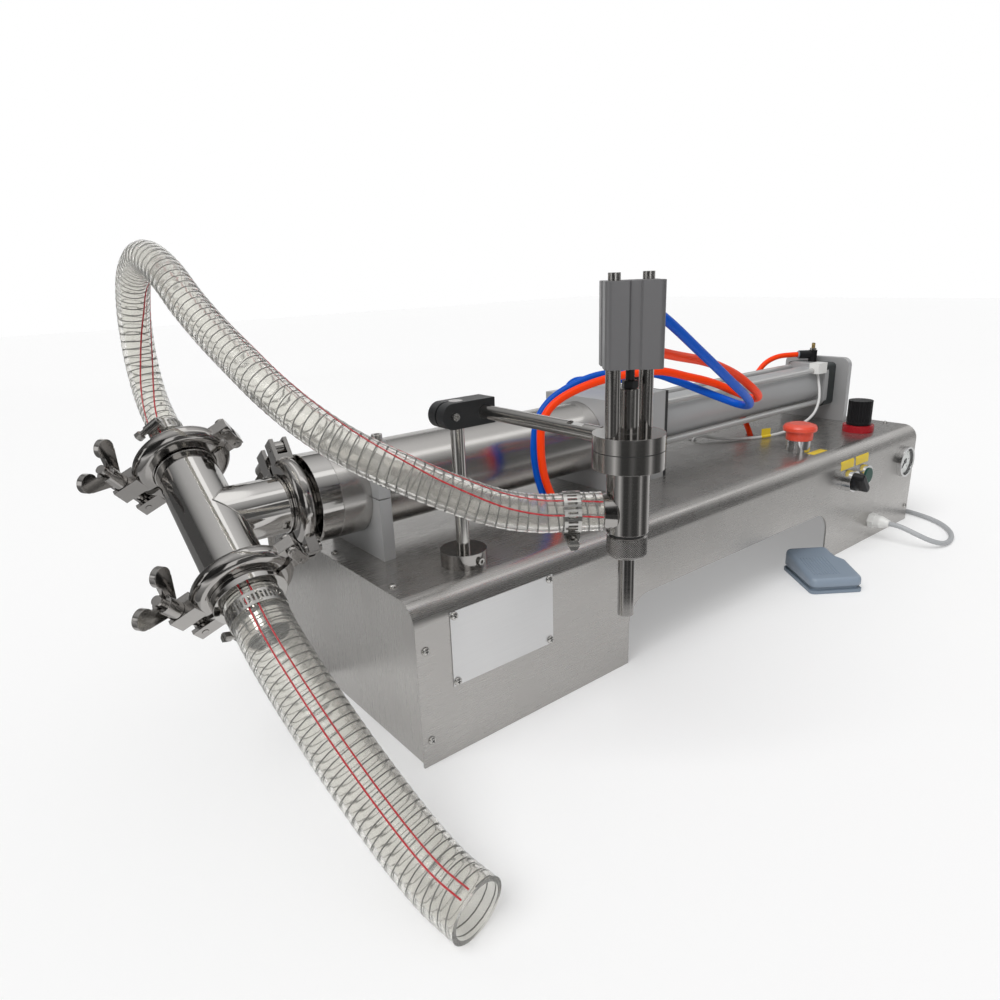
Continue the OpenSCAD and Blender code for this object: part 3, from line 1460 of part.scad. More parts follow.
module nozzle_body() {
    barb_d = hose_id - 2 * barb_gap;
    start = nozzle_bore / 2;
    color("silver") difference() {
        union() {
            at_nozzle() translate([0, 0, flange_bottom]) cylinder(d = flange_od, h = flange_low_t);
            at_nozzle() translate([0, 0, body_bottom]) cylinder(d = nozzle_od, h = nozzle_l);
            at_inlet() translate([0, 0, start])
                cylinder(d1 = hose_od, d2 = inlet_rim_d, h = inlet_hose_start - clear - start);
            at_inlet() translate([0, 0, start]) cylinder(d = barb_d, h = inlet_barb_end - start);
        }
        at_nozzle() translate([0, 0, body_bottom - past])
            cylinder(d = nozzle_bore, h = nozzle_l - seal_t + past);
        at_nozzle() stem_bore(body_bottom, flange_mid + past);
        at_inlet() cylinder(d = barb_d - 2 * barb_wall, h = inlet_barb_end + past);
    }
}

// The nut, its spigot up into the body and the tip are one turned piece
module nozzle_tip() {
    spigot_r = nozzle_bore / 2 - seat_gap;
    color("gray") at_nozzle() rotate_extrude() polygon([
        [tip_bore / 2, tip_bottom], [tip_od / 2, tip_bottom], [tip_od / 2, nut_bottom],
        [nut_od / 2 - 1, nut_bottom], [nut_od / 2, nut_bottom + 1], [nut_od / 2, nut_top - 1],
        [nut_od / 2 - 1, nut_top], [nozzle_od / 2 - 2, nut_top], [nozzle_od / 2 - 2, body_bottom],
        [spigot_r, body_bottom], [spigot_r, body_bottom + tip_spigot],
        [plug_room / 2, body_bottom + tip_spigot], [plug_room / 2, seat_z], [tip_bore / 2, seat_z]]);
}

module nozzle_pillars() {
    color("silver") at_pillars() {
        difference() {
            translate([0, 0, flange_top]) cylinder(d = pillar_d, h = pillar_l);
            translate([0, 0, actuator_z]) screw_hole(pillar_bolt_d, pillar_bolt_bite);
        }
        translate([0, 0, flange_top - pillar_stud]) cylinder(d = pillar_bolt_d, h = pillar_stud);
    }
}

module actuator() {
    room = actuator_h - actuator_floor - actuator_ceiling;
    half = actuator_w / 2;
    side = actuator_groove_w / 2;
    color("silver") difference() {
        at_actuator() {
            translate([0, 0, actuator_z]) linear_extrude(actuator_h) difference() {
                rounded_square(actuator_w, actuator_w, actuator_corner);
                for (a = [0 : 90 : 270]) rotate(a) translate([half, 0])
                    polygon([[past, -side - past], [-actuator_groove, -side + 1],
                             [-actuator_groove, side - 1], [past, side + past]]);
            }
            for (z = actuator_port_z) translate([0, half - 2 * actuator_groove, z]) rotate([-90, 0, 0])
                cylinder(d = actuator_port_d, h = actuator_port_l + 2 * actuator_groove);
        }
        at_nozzle() translate([0, 0, actuator_z + actuator_floor]) cylinder(d = actuator_bore, h = room);
        at_nozzle() stem_bore(actuator_z - past, actuator_z + actuator_h / 2);
        at_pillars() translate([0, 0, actuator_top]) screw_hole(pillar_bolt_d, actuator_h + past);
        at_actuator() for (z = actuator_port_z) translate([0, half, z]) rotate([-90, 0, 0])
            cylinder(d = air_od + 2 * seat_gap, h = actuator_port_l + past);
    }
}

module nozzle_hose_clamp() {
    color("lightgray") at_inlet() translate([0, 0, inlet_hose_start + 1.8 * hose_clamp_in])
        rotate([180, 0, 90]) hose_clamp(hose_od);
}

module actuator_tubes() {
    color("royalblue") cord(along_route(blue_route, 2 * air_od), air_od, 8);
    color("orangered") cord(along_route(orange_route, 2 * air_od), air_od, 8);
}

// The stem runs from the plug at the tip to its piston in the actuator
module nozzle_stem() {
    nut_z = flange_top + guide_h + clear;
    stem_top = actuator_z + actuator_floor + 4;
    color("dimgray") at_nozzle() {
        translate([0, 0, seat_z + clear]) cylinder(d1 = tip_bore - 1, d2 = plug_d, h = 3);
        translate([0, 0, seat_z + clear + 3]) cylinder(d = plug_d, h = plug_l - 3);
        translate([0, 0, seat_z + plug_l - 1]) cylinder(d = stem_d, h = stem_top - seat_z - plug_l + 1);
        translate([0, 0, nut_z]) cylinder(d = stem_nut_d, h = stem_nut_h, $fn = 6);
        translate([0, 0, stem_top]) cylinder(d = actuator_bore - 2 * run_gap, h = stem_piston_h);
    }
}

module inlet_ball() { color("silver") at_run() translate([0, 0, inlet_ball_t]) sphere(d = ball_d); }

module outlet_ball() { color("silver") at_run() translate([0, 0, outlet_ball_t]) sphere(d = ball_d); }

module piston() {
    r = tube_id / 2 - run_gap;
    color("white") translate([piston_back - piston_l, 0, axis_z]) difference() {
        rod_x(2 * r, piston_l);
        for (x = [0.3, 0.7]) translate([x * piston_l - piston_groove / 2, 0, 0]) difference() {
            rod_x(2 * r + past, piston_groove);
            translate([-past, 0, 0]) rod_x(2 * r - piston_groove, piston_groove + 2 * past);
        }
    }
}

module piston_rod() {
    color("silver") translate([0, 0, axis_z]) {
        translate([piston_back, 0, 0]) rod_x(rod_d, air_piston_far - piston_back);
        translate([air_piston_far - air_piston_l, 0, 0]) rod_x(cyl_bore - 2 * run_gap, air_piston_l);
    }
}

casing();
end_plates();
fasteners();
nameplate();
front_support();
front_support_cap();
product_tube();
tube_end_cap();
centre_block();
cylinder_caps();
cylinder_tube();
tie_rods();
rear_bracket();
reed_sensor();
sensor_cable();
air_fittings();
cylinder_air_tubes();
post_collar();
post();
tee();
gaskets();
clamp_halves();
clamp_hardware();
hose_barbs();
hose_clamps();
product_hose();
suction_hose();
control_collars();
regulator_body();
gauge_case();
cable_gland();
mains_cable();
mains_coil();
mains_plug();
pedal_base();
valve_manifold();
cross_clamp();
arm_screws();
arm_rod();
nozzle_flange();
nozzle_body();
nozzle_tip();
nozzle_pillars();
actuator();
nozzle_hose_clamp();
actuator_tubes();
nozzle_stem();
stop_head();
selector_handle();
push_button();
regulator_knob();
gauge_needle();
pedal_treadle();
inlet_ball();
outlet_ball();
wing_nut_upper();
wing_nut_lower();
wing_nut_branch();
piston();
piston_rod();
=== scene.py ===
"""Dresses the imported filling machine: materials, hoses, cables, trim, light and camera."""

import math

import bmesh
import bpy
from mathutils import Matrix, Vector


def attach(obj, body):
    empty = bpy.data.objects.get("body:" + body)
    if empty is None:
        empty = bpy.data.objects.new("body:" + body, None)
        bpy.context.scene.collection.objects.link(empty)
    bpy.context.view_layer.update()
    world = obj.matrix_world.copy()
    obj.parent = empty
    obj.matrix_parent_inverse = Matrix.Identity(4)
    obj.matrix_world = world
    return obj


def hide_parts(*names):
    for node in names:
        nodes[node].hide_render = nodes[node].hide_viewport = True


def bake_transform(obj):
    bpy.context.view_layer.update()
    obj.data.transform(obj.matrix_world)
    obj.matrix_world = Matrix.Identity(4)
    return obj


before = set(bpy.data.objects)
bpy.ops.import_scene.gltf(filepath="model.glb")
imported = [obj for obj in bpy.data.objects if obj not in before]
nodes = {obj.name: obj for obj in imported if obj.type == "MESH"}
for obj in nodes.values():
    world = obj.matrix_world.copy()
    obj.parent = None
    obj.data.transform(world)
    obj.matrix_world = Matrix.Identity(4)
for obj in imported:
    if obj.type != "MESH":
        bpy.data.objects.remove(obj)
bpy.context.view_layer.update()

# Camera, from the photograph: place in metres, then its right and up directions
CAMERA_AT = Vector((-0.7151, -0.5946, 0.3982))
CAMERA_RIGHT = Vector((0.7772, -0.6283, -0.0352))
CAMERA_UP = Vector((0.2173, 0.2154, 0.9520))
LENS_MM = 25.895
SENSOR_MM = 36.0

# Places that the model's axes set, in metres
X_WAY, Y_WAY, Z_WAY = Vector((1, 0, 0)), Vector((0, 1, 0)), Vector((0, 0, 1))
DECK_Z = 0.150
RIGHT_X = 0.455
FRONT_Y = -0.150
FOLD_R = 0.020
AXIS_Z = 0.2085
TEE_AT = Vector((-0.552, 0, AXIS_Z))
PIPE_R = 0.0254
RUN_DROP = math.radians(33)
RUN_DOWN = Vector((0, -math.cos(RUN_DROP), -math.sin(RUN_DROP)))
RUN_SIDE = Vector((0, -math.sin(RUN_DROP), math.cos(RUN_DROP)))
RUN_OUT = 0.071
NOZZLE_AT = Vector((-0.349, -0.275, 0))
NOZZLE_TURN = math.radians(-40)
INLET_Z = 0.235
INLET_TURN = math.radians(142)
INLET_WAY = Vector((math.cos(INLET_TURN), math.sin(INLET_TURN), 0))
NUT_LOW, NUT_HIGH, NUT_R = 0.202, 0.218, 0.014
SEAL_HIGH, SEAL_R = 0.220, 0.013
FLANGE_JOINT_Z, FLANGE_R = 0.2795, 0.025
GAUGE_AT = Vector((0.418, FRONT_Y, 0.101))
PEDAL_AT = Vector((0.141, -0.179, 0))
PEDAL_TURN = math.radians(54)

# Hoses, tubes and cables
HOSE_R, HOSE_BORE_R = 0.014, 0.010
SUCTION_R, SUCTION_BORE_R = 0.0225, 0.019
RIB_PITCH, RIB_DEPTH = 0.007, 0.0003
RINGS_PER_RIB = 4
HOSE_SIDES = 32
WIRE_STEPS, WIRE_MARGIN = 16, 2
WIRE_R, WIRE_INSET, STRIPE_R = 0.0005, 0.0004, 0.0007
LINE_SIDES = 8
HOSE_STEP, TUBE_STEP, MAINS_STEP = 0.002, 0.004, 0.006
AIR_TUBE_R = 0.004
SENSOR_LEAD_R = 0.002
MAINS_R = 0.0035

# Routes in millimetres, as the solids follow them
MILLIMETRES, MICROMETRES = 1e3, 1e6


def in_metres(points):
    return [tuple(c / MILLIMETRES for c in p) for p in points]


HOSE_ROUTE = in_metres([
    (-363.5, -263.7, 235), (-382, -249, 235), (-398, -236.8, 235), (-420, -221, 240), (-445, -203, 252),
    (-472, -181, 268), (-497, -155, 286), (-515, -130, 305), (-527, -103, 324), (-535, -72, 344),
    (-541, -40, 363), (-546, -10, 383), (-549, 17, 402), (-551, 40, 413), (-552, 64, 418), (-552, 90, 413),
    (-552, 115, 400), (-552, 133, 375), (-552, 140, 346), (-552, 137, 317), (-552, 124, 293),
    (-552, 104, 276), (-552, 88, 265.5), (-552, 71.3, 254.8),
])
SUCTION_ROUTE = in_metres([
    (-552, -73, 161.1), (-552, -88, 151), (-552, -105, 140), (-550, -130, 123), (-546, -161, 101),
    (-541, -191, 79), (-535, -222, 57), (-529, -253, 38), (-524, -281, 26.5), (-519, -309, 22.8),
])
BLUE_ROUTE = in_metres([
    (-242, -78, 138), (-244, -76, 165), (-252, -71, 200), (-253, -68, 230), (-245, -67, 258),
    (-224, -73, 279), (-187, -93, 295), (-135, -113, 293), (-108, -128, 283), (-89, -143, 273),
    (-74, -160, 264), (-69, -178, 259), (-82, -197, 263), (-114, -213, 277), (-163, -226, 300),
    (-219, -235, 330), (-272, -238, 361), (-303, -233, 375), (-318, -240, 378), (-328.8, -250.9, 378),
    (-333.5, -256.5, 378),
])
ORANGE_ROUTE = in_metres([
    (-234, -86, 138), (-240, -86, 165), (-253, -83, 200), (-255, -80, 231), (-249, -78, 258),
    (-230, -84, 277), (-194, -104, 292), (-149, -131, 298), (-110, -144, 289), (-81, -154, 280),
    (-57, -167, 268), (-54, -183, 264), (-64, -195, 269), (-88, -202, 281), (-121, -204, 298),
    (-174, -211, 315), (-237, -221, 328), (-303, -232, 342), (-318, -239, 342), (-328.8, -250.9, 342),
    (-333.5, -256.5, 342),
])
REAR_TUBE_ROUTE = in_metres([
    (390.3, 9, 253.5), (376, 21, 253.5), (356, 34, 251.5), (338, 43, 243), (322, 48, 227), (304, 50, 207),
    (284, 47, 188), (262, 33, 175), (243, 11, 165), (235, -3, 149), (235, -4, 138),
])
FRONT_TUBE_ROUTE = in_metres([
    (-29, 0, 265.5), (-46, 0, 265.5), (-61, 9, 265.5), (-70, 26, 265.5), (-75, 42, 265.5), (-78, 56, 261.5),
    (-80, 65, 250), (-80, 68, 228), (-80, 68, 195), (-80, 68, 165), (-80, 68, 138),
])
SENSOR_ROUTE = in_metres([
    (367, -29, 229.1), (366, -31, 222), (361, -37, 208), (350, -44, 191), (332, -48, 175), (307, -47, 164),
    (277, -42, 157), (247, -35, 153.5), (217, -24, 152.5), (187, -6, 152.7), (168, 13, 154.5),
    (157, 27, 157), (151.3, 35.5, 153.8), (150, 38.3, 145), (150, 39, 136),
])
LYING_Z = 3.6
MAINS_ROUTE = in_metres([
    (330, -178, 29), (330, -190, 29), (331, -203, 26), (336, -217, 20), (346, -229, 13), (362, -237, 7),
    *[(x, y, LYING_Z) for x, y in (
        (384, -239), (412, -233), (440, -217), (463, -192), (478, -158), (484, -118), (485, -70),
        (485, -15), (485, 40), (485, 90), (484, 122), (478, 147), (464, 162), (443, 168), (415, 168),
        (385, 168), (355, 168), (330, 168),
    )],
])
COIL_R = 0.046
COIL_AT = Vector(MAINS_ROUTE[-1]) + COIL_R * Y_WAY
COIL_TURNS = 2
COIL_ALL_TURNS = 2 * COIL_TURNS + 0.5
COIL_STEP = 0.0076
COIL_RINGS = 24
COIL_TAIL = in_metres([(345, 260, 11.2), (362, 260, 10.8), (380, 260, 10)])

# Materials: the height of a grain is in micrometres, the radius of soft edges in millimetres
FINE_DETAIL, BROAD_SCALE, BROAD_DETAIL = 3.0, 18.0, 4.0
GRAIN_RANGE, LEAST_ROUGH = (0.7, 1.3), 0.02
BUMP_SHARE, EDGE_SAMPLES = 0.5, 4


def set_inputs(node, **values):
    """Sets a shader node's sockets by their names."""
    for name, value in values.items():
        node.inputs[name.replace("_", " ").title().replace("Ior", "IOR")].default_value = value
    return node


def add_node(tree, kind, **values):
    return set_inputs(tree.nodes.new(kind), **values)


def add_math(tree, operation):
    node = add_node(tree, "ShaderNodeMath")
    node.operation = operation
    return node


def wire(tree, *links):
    """Joins nodes: each link is a node, its output, the next node and its input."""
    for start, output, end, target in links:
        tree.links.new(start.outputs[output], end.inputs[target])


def look(name, colour, rough, metal=0.0, grain=(900, 900, 900), tone=0.05, spread=0.06, bump=10, edge=0,
         shine=0.5, **sockets):
    """A procedural surface: fine grain in tone, gloss and height, broad marks in its gloss, soft edges."""
    mat = bpy.data.materials.new(name)
    mat.use_nodes = True
    tree = mat.node_tree
    shader = set_inputs(tree.nodes["Principled BSDF"], metallic=metal, specular_ior_level=shine, **sockets)
    place = add_node(tree, "ShaderNodeTexCoord")
    stretch = add_node(tree, "ShaderNodeMapping", scale=grain)
    fine = add_node(tree, "ShaderNodeTexNoise", scale=1.0, detail=FINE_DETAIL)
    broad = add_node(tree, "ShaderNodeTexNoise", scale=BROAD_SCALE, detail=BROAD_DETAIL)
    tint = add_node(tree, "ShaderNodeMix")
    tint.data_type = "RGBA"
    tint.inputs["A"].default_value = (*[c * (1 - tone) for c in colour], 1)
    tint.inputs["B"].default_value = (*[min(1, c * (1 + tone)) for c in colour], 1)
    both = add_math(tree, "ADD")
    gloss = add_node(tree, "ShaderNodeMapRange", from_min=GRAIN_RANGE[0], from_max=GRAIN_RANGE[1],
                     to_min=max(LEAST_ROUGH, rough - spread), to_max=min(1, rough + spread))
    height = add_node(tree, "ShaderNodeBump", strength=BUMP_SHARE, distance=bump / MICROMETRES)
    wire(tree, (place, "Object", stretch, "Vector"), (stretch, "Vector", fine, "Vector"),
         (place, "Object", broad, "Vector"), (fine, "Fac", tint, "Factor"),
         (tint, "Result", shader, "Base Color"), (fine, "Fac", both, 0), (broad, "Fac", both, 1),
         (both, "Value", gloss, "Value"), (gloss, "Result", shader, "Roughness"),
         (fine, "Fac", height, "Height"), (height, "Normal", shader, "Normal"))
    if edge:
        soft = add_node(tree, "ShaderNodeBevel", radius=edge / MILLIMETRES)
        soft.samples = EDGE_SAMPLES
        wire(tree, (soft, "Normal", height, "Normal"))
    return mat


STEEL = (0.55, 0.535, 0.515)
SHEET = (0.44, 0.427, 0.412)
BRUSHED_X = (30, 1800, 1800)
BRUSHED_Z = (1800, 1800, 30)
RINGED_X = (2200, 12, 12)
RINGED_Z = (12, 12, 2200)
SATIN = (2600, 2600, 2600)
looks = {
    "sheet": look("brushed_sheet", SHEET, 0.28, 0.88, BRUSHED_X, tone=0.07, bump=20, edge=0.8),
    "plate": look("brushed_plate", SHEET, 0.28, 0.88, BRUSHED_Z, tone=0.07, bump=20, edge=0.6),
    "polished": look("polished_steel", (0.54, 0.527, 0.51), 0.07, 1.0, tone=0.02, spread=0.03, bump=4,
                     edge=0.9),
    # Clamp halves, hardware and wing nuts: polished steel with a darker colour, painted dark reflections
    "clamp": look("clamp_steel_painted_dark_reflection", (0.43, 0.415, 0.40), 0.10, 1.0, tone=0.04, spread=0.04, edge=0.9),
    "tube": look("drawn_tube", STEEL, 0.23, 1.0, RINGED_X, spread=0.04, bump=6, edge=0.6),
    "turned": look("turned_steel", (0.385, 0.372, 0.358), 0.13, 1.0, RINGED_Z, spread=0.04, bump=5, edge=0.6),
    "rod": look("ground_rod", STEEL, 0.16, 1.0, tone=0.04, spread=0.03, bump=4, edge=0.4),
    # Nozzle tip and nut knurl: turned steel with a darker colour, painted dark reflections; its roughness is
    # the turned steel's
    "tip": look("tip_steel_painted_dark_reflection", (0.30, 0.29, 0.28), 0.13, 1.0, RINGED_Z, tone=0.08, bump=6, edge=0.4),
    "cylinder": look("pale_aluminium", (0.46, 0.465, 0.47), 0.42, 0.35, SATIN, tone=0.04, bump=20, edge=0.6),
    "tie_rod": look("plain_rod", (0.54, 0.54, 0.535), 0.32, 0.55, spread=0.04),
    "aluminium": look("satin_aluminium", (0.47, 0.473, 0.475), 0.40, 0.45, SATIN, tone=0.06, bump=30,
                      edge=0.9),
    "anodised": look("pale_anodised", (0.185, 0.183, 0.187), 0.38, 0.45, SATIN, bump=20, edge=0.8),
    "label": look("bare_plate", (0.66, 0.66, 0.66), 0.34, 1.0, BRUSHED_X, edge=0.3),
    "screw": look("screw_steel", (0.55, 0.54, 0.52), 0.24, 1.0, tone=0.06, edge=0.4),
    "band": look("clamp_band", (0.50, 0.49, 0.47), 0.18, 1.0, edge=0.3),
    "black_metal": look("black_metal", (0.018, 0.019, 0.020), 0.38, tone=0.25, bump=50, edge=1),
    "green_black": look("green_black_metal", (0.022, 0.028, 0.028), 0.42, tone=0.2, bump=50, edge=1),
    "black_plastic": look("black_plastic", (0.008, 0.008, 0.009), 0.36, tone=0.25, bump=40, edge=0.8,
                          shine=0.3),
    # Painted shade: near black for the cross on each panel screw head, where a recess would lie in shade
    "recess": look("painted_recess_shade", (0.03, 0.03, 0.03), 0.5, tone=0.2, bump=20),
    "red": look("red_plastic", (0.74, 0.070, 0.034), 0.30, tone=0.06, bump=20, edge=1, coat_weight=0.3),
    "ring_red": look("deep_red_ring", (0.34, 0.010, 0.016), 0.26, tone=0.08, bump=20, edge=1, shine=0.3),
    "green": look("green_plastic", (0.004, 0.060, 0.042), 0.32, tone=0.10, bump=20, edge=0.8, shine=0.25),
    "chrome": look("bezel_chrome", (0.66, 0.66, 0.66), 0.06, 1.0, tone=0.02, spread=0.02, bump=3, edge=0.6),
    "white": look("white_plastic", (0.76, 0.76, 0.74), 0.36, tone=0.03, bump=30, edge=0.6),
    "cable": look("grey_cable", (0.40, 0.41, 0.42), 0.50, tone=0.06, bump=30),
    "pale_cable": look("pale_cable", (0.62, 0.62, 0.61), 0.45, bump=20),
    "pedal": look("pedal_plastic", (0.235, 0.290, 0.360), 0.36, bump=60, grain=(1400, 1400, 1400)),
    "pedal_base": look("pedal_base_plastic", (0.20, 0.25, 0.31), 0.45, tone=0.06, bump=60, edge=0.8),
    "blue": look("blue_tube", (0.0, 0.082, 0.50), 0.34, shine=0.15),
    "orange": look("orange_tube", (0.90, 0.048, 0.002), 0.34, shine=0.15),
    "grey_ring": look("release_ring", (0.20, 0.23, 0.27), 0.40, tone=0.06, bump=20),
    "brass": look("brass_needle", (0.62, 0.44, 0.18), 0.22, 1.0, tone=0.06),
    "yellow": look("yellow_tag", (0.78, 0.56, 0.02), 0.40, bump=20),
    "dial": look("dial_face", (0.78, 0.78, 0.76), 0.5, tone=0.02),
    "ink": look("dial_ink", (0.02, 0.02, 0.02), 0.5, tone=0.1),
    "seal": look("black_seal", (0.014, 0.014, 0.014), 0.45, tone=0.2, bump=40),
    "wire": look("hose_wire", (0.16, 0.16, 0.15), 0.30, 1.0, tone=0.08),
    "stripe": look("red_stripe", (0.46, 0.006, 0.016), 0.40, tone=0.06),
    "clear": look("clear_hose", (0.890, 0.880, 0.842), 0.12, grain=(260, 260, 260), tone=0.03, spread=0.05,
                  bump=120, transmission_weight=0.90, ior=1.30),
    "glass": look("gauge_glass", (0.97, 0.98, 0.98), 0.03, tone=0.01, spread=0.01, bump=1,
                  transmission_weight=1.0, ior=1.12),
}
NODE_LOOKS = {
    "sheet": "casing",
    "plate": "end_plates",
    "label": "nameplate",
    "polished": "tee tube_end_cap hose_barbs inlet_ball outlet_ball",
    "clamp": "clamp_halves clamp_hardware wing_nut_upper wing_nut_lower wing_nut_branch",
    "tube": "product_tube piston_rod",
    "turned": "post_collar nozzle_flange nozzle_body nozzle_pillars",
    "rod": "post arm_rod",
    "tie_rod": "tie_rods",
    "cylinder": "cylinder_tube",
    "tip": "nozzle_tip",
    "aluminium": "front_support front_support_cap centre_block rear_bracket valve_manifold",
    "anodised": "actuator",
    "screw": "fasteners arm_screws",
    "band": "hose_clamps nozzle_hose_clamp",
    "black_metal": "cross_clamp nozzle_stem",
    "green_black": "cylinder_caps",
    "black_plastic": "air_fittings selector_handle regulator_knob gauge_needle mains_plug",
    "red": "stop_head",
    "ring_red": "regulator_body",
    "green": "push_button",
    "chrome": "control_collars gauge_case",
    "white": "cable_gland reed_sensor piston gaskets",
    "pedal": "pedal_treadle",
    "pedal_base": "pedal_base",
    "clear": "product_hose suction_hose",
    "blue": "actuator_tubes",
    "orange": "cylinder_air_tubes",
    "cable": "sensor_cable mains_cable mains_coil",
}
for key, names in NODE_LOOKS.items():
    for name in names.split():
        nodes[name].data.materials.clear()
        nodes[name].data.materials.append(looks[key])

# Shapes
SHARP_TURN, STEEP = math.radians(48), 0.9


def add_object(name, mesh):
    obj = bpy.data.objects.new(name, mesh)
    bpy.context.scene.collection.objects.link(obj)
    return obj


def finish_piece(name, bm, keys, slot=None, body="root"):
    """Makes an object of a bmesh with its looks; with a material slot named, it also rides on a body."""
    bmesh.ops.recalc_face_normals(bm, faces=bm.faces)
    for edge in bm.edges:
        if len(edge.link_faces) == 2 and edge.calc_face_angle(0.0) > SHARP_TURN:
            edge.smooth = False
    mesh = bpy.data.meshes.new(name)
    bm.to_mesh(mesh)
    bm.free()
    for key in keys:
        mesh.materials.append(looks[key])
    obj = add_object(name, mesh)
    if slot:
        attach(obj, body)
    return obj


def frame_at(at, z_way, x_way=X_WAY):
    """A place whose local Z and X point the given ways."""
    z = z_way.normalized()
    x = (x_way - x_way.dot(z) * z).normalized()
    return Matrix.Translation(at) @ Matrix((x, z.cross(x), z)).transposed().to_4x4()


def full_turn(steps):
    return [2 * math.pi * k / steps for k in range(steps)]


def polar(r, turn, z=0):
    """A place by its distance from an upright axis, its turn and its height."""
    return Vector((r * math.cos(turn), r * math.sin(turn), z))


def around(across, radius, turn):
    """A step out from a line, by two directions across it."""
    return radius * (math.cos(turn) * across[0] + math.sin(turn) * across[1])


def smooth_path(points, step):
    """Points about one step apart on a smooth curve through the given ones."""
    inner = [Vector(p) for p in points]
    pts = [2 * inner[0] - inner[1], *inner, 2 * inner[-1] - inner[-2]]
    path = []
    for a, b, c, d in zip(pts, pts[1:], pts[2:], pts[3:]):
        count = max(1, round((c - b).length / step))
        for k in range(count):
            t = k / count
            path.append(0.5 * (2 * b + (c - a) * t + (2 * a - 5 * b + 4 * c - d) * t ** 2
                               + (3 * b - a - 3 * c + d) * t ** 3))
    return [*path, inner[-1]]


def length_of(path):
    return sum((b - a).length for a, b in zip(path, path[1:]))


def evenly(path, step):
    """The same path, with its points an equal step apart."""
    count = max(2, round(length_of(path) / step))
    gap = length_of(path) / count
    points, gone, wanted = [path[0]], 0.0, gap
    for a, b in zip(path, path[1:]):
        span = (b - a).length
        while wanted <= gone + span + 1e-9 and len(points) < count:
            points.append(a.lerp(b, (wanted - gone) / span))
            wanted += gap
        gone += span
    return [*points, path[-1]]


def side_frames(path):
    """Two directions across the path at each point, which don't twist about it."""
    last = len(path) - 1
    along = [(path[min(i + 1, last)] - path[max(i - 1, 0)]).normalized() for i in range(last + 1)]
    helper = X_WAY if abs(along[0].z) > STEEP else Z_WAY
    side = along[0].cross(helper)
    frames = []
    for way in along:
        side = (side - side.dot(way) * way).normalized()
        frames.append((side, way.cross(side)))
    return frames


def ring(bm, centre, across, radius, sides):
    return [bm.verts.new(centre + around(across, radius, a)) for a in full_turn(sides)]


def skin(bm, low, high, look_index=0):
    """A band of faces between two rings; either ring may be a single point."""
    count = max(len(low), len(high))
    for k in range(count):
        m = k + 1
        corners = [low[k % len(low)], low[m % len(low)], high[m % len(high)], high[k % len(high)]]
        face = bm.faces.new(list(dict.fromkeys(corners)))
        face.smooth = True
        face.material_index = look_index


def cap(bm, corners, look_index=0):
    bm.faces.new(corners).material_index = look_index


def loft(bm, rings, look_index=0, closed=False, capped=False):
    """Skins from ring to ring: closed goes back to the first one, capped fills both ends."""
    for low, high in zip(rings, rings[1:] + (rings[:1] if closed else [])):
        skin(bm, low, high, look_index)
    if capped:
        cap(bm, rings[0], look_index)
        cap(bm, rings[-1], look_index)


def add_tube(bm, path, radius, sides, look_index=0):
    """A closed round tube along a path."""
    rings = [ring(bm, p, across, radius, sides) for p, across in zip(path, side_frames(path))]
    loft(bm, rings, look_index, capped=True)


def lathe(bm, profile, place, sides=48, look_index=0):
    """A turned shape about local Z: its profile lists radii and heights, open if it starts on the axis."""
    rings = [[bm.verts.new(place @ polar(r, a, z)) for a in full_turn(sides if r else 1)] for r, z in profile]
    loft(bm, rings, look_index, closed=profile[0][0] > 0)


def prism(bm, outline, low, high, place, look_index=0):
    """An outline in local X and Y, raised from one height to another."""
    rings = [[bm.verts.new(place @ Vector((x, y, z))) for x, y in outline] for z in (low, high)]
    loft(bm, rings, look_index, capped=True)


def filleted(corners, steps=6):
    """An outline with rounded corners: each corner is x, y and its radius."""
    points = []
    for k, (x, y, r) in enumerate(corners):
        here = Vector((x, y))
        to_last = (Vector(corners[k - 1][:2]) - here).normalized()
        to_next = (Vector(corners[(k + 1) % len(corners)][:2]) - here).normalized()
        half = to_last.angle(to_next) / 2
        centre = here + (to_last + to_next).normalized() * r / math.sin(half)
        start = here + to_last * r / math.tan(half) - centre
        end = here + to_next * r / math.tan(half) - centre
        sweep = start.angle(end)
        for s in range(steps + 1):
            t = s / steps
            way = start * math.sin((1 - t) * sweep) + end * math.sin(t * sweep)
            points.append(centre + way / math.sin(sweep))
    return points


def rounded_square(width, height, radius):
    w, h = width / 2, height / 2
    return filleted([(-w, -h, radius), (w, -h, radius), (w, h, radius), (-w, h, radius)])


def regular(sides, radius):
    return [(radius * math.cos(a), radius * math.sin(a)) for a in full_turn(sides)]


def inset(outline, by):
    """An outline drawn in all round."""
    points = []
    for k, here in enumerate(outline):
        along = (outline[(k + 1) % len(outline)] - outline[k - 1]).normalized()
        points.append(here + by * Vector((-along.y, along.x)))
    return points


def tube_piece(name, route, radius, key, sides=16):
    bm = bmesh.new()
    add_tube(bm, smooth_path(route, TUBE_STEP), radius, sides)
    return finish_piece(name, bm, [key])


def between(pairs, share):
    """The value at a share of the way, from pairs of shares and values."""
    for (a, low), (b, high) in zip(pairs, pairs[1:]):
        if share <= b:
            return low + (high - low) * (share - a) / (b - a)
    return pairs[-1][1]


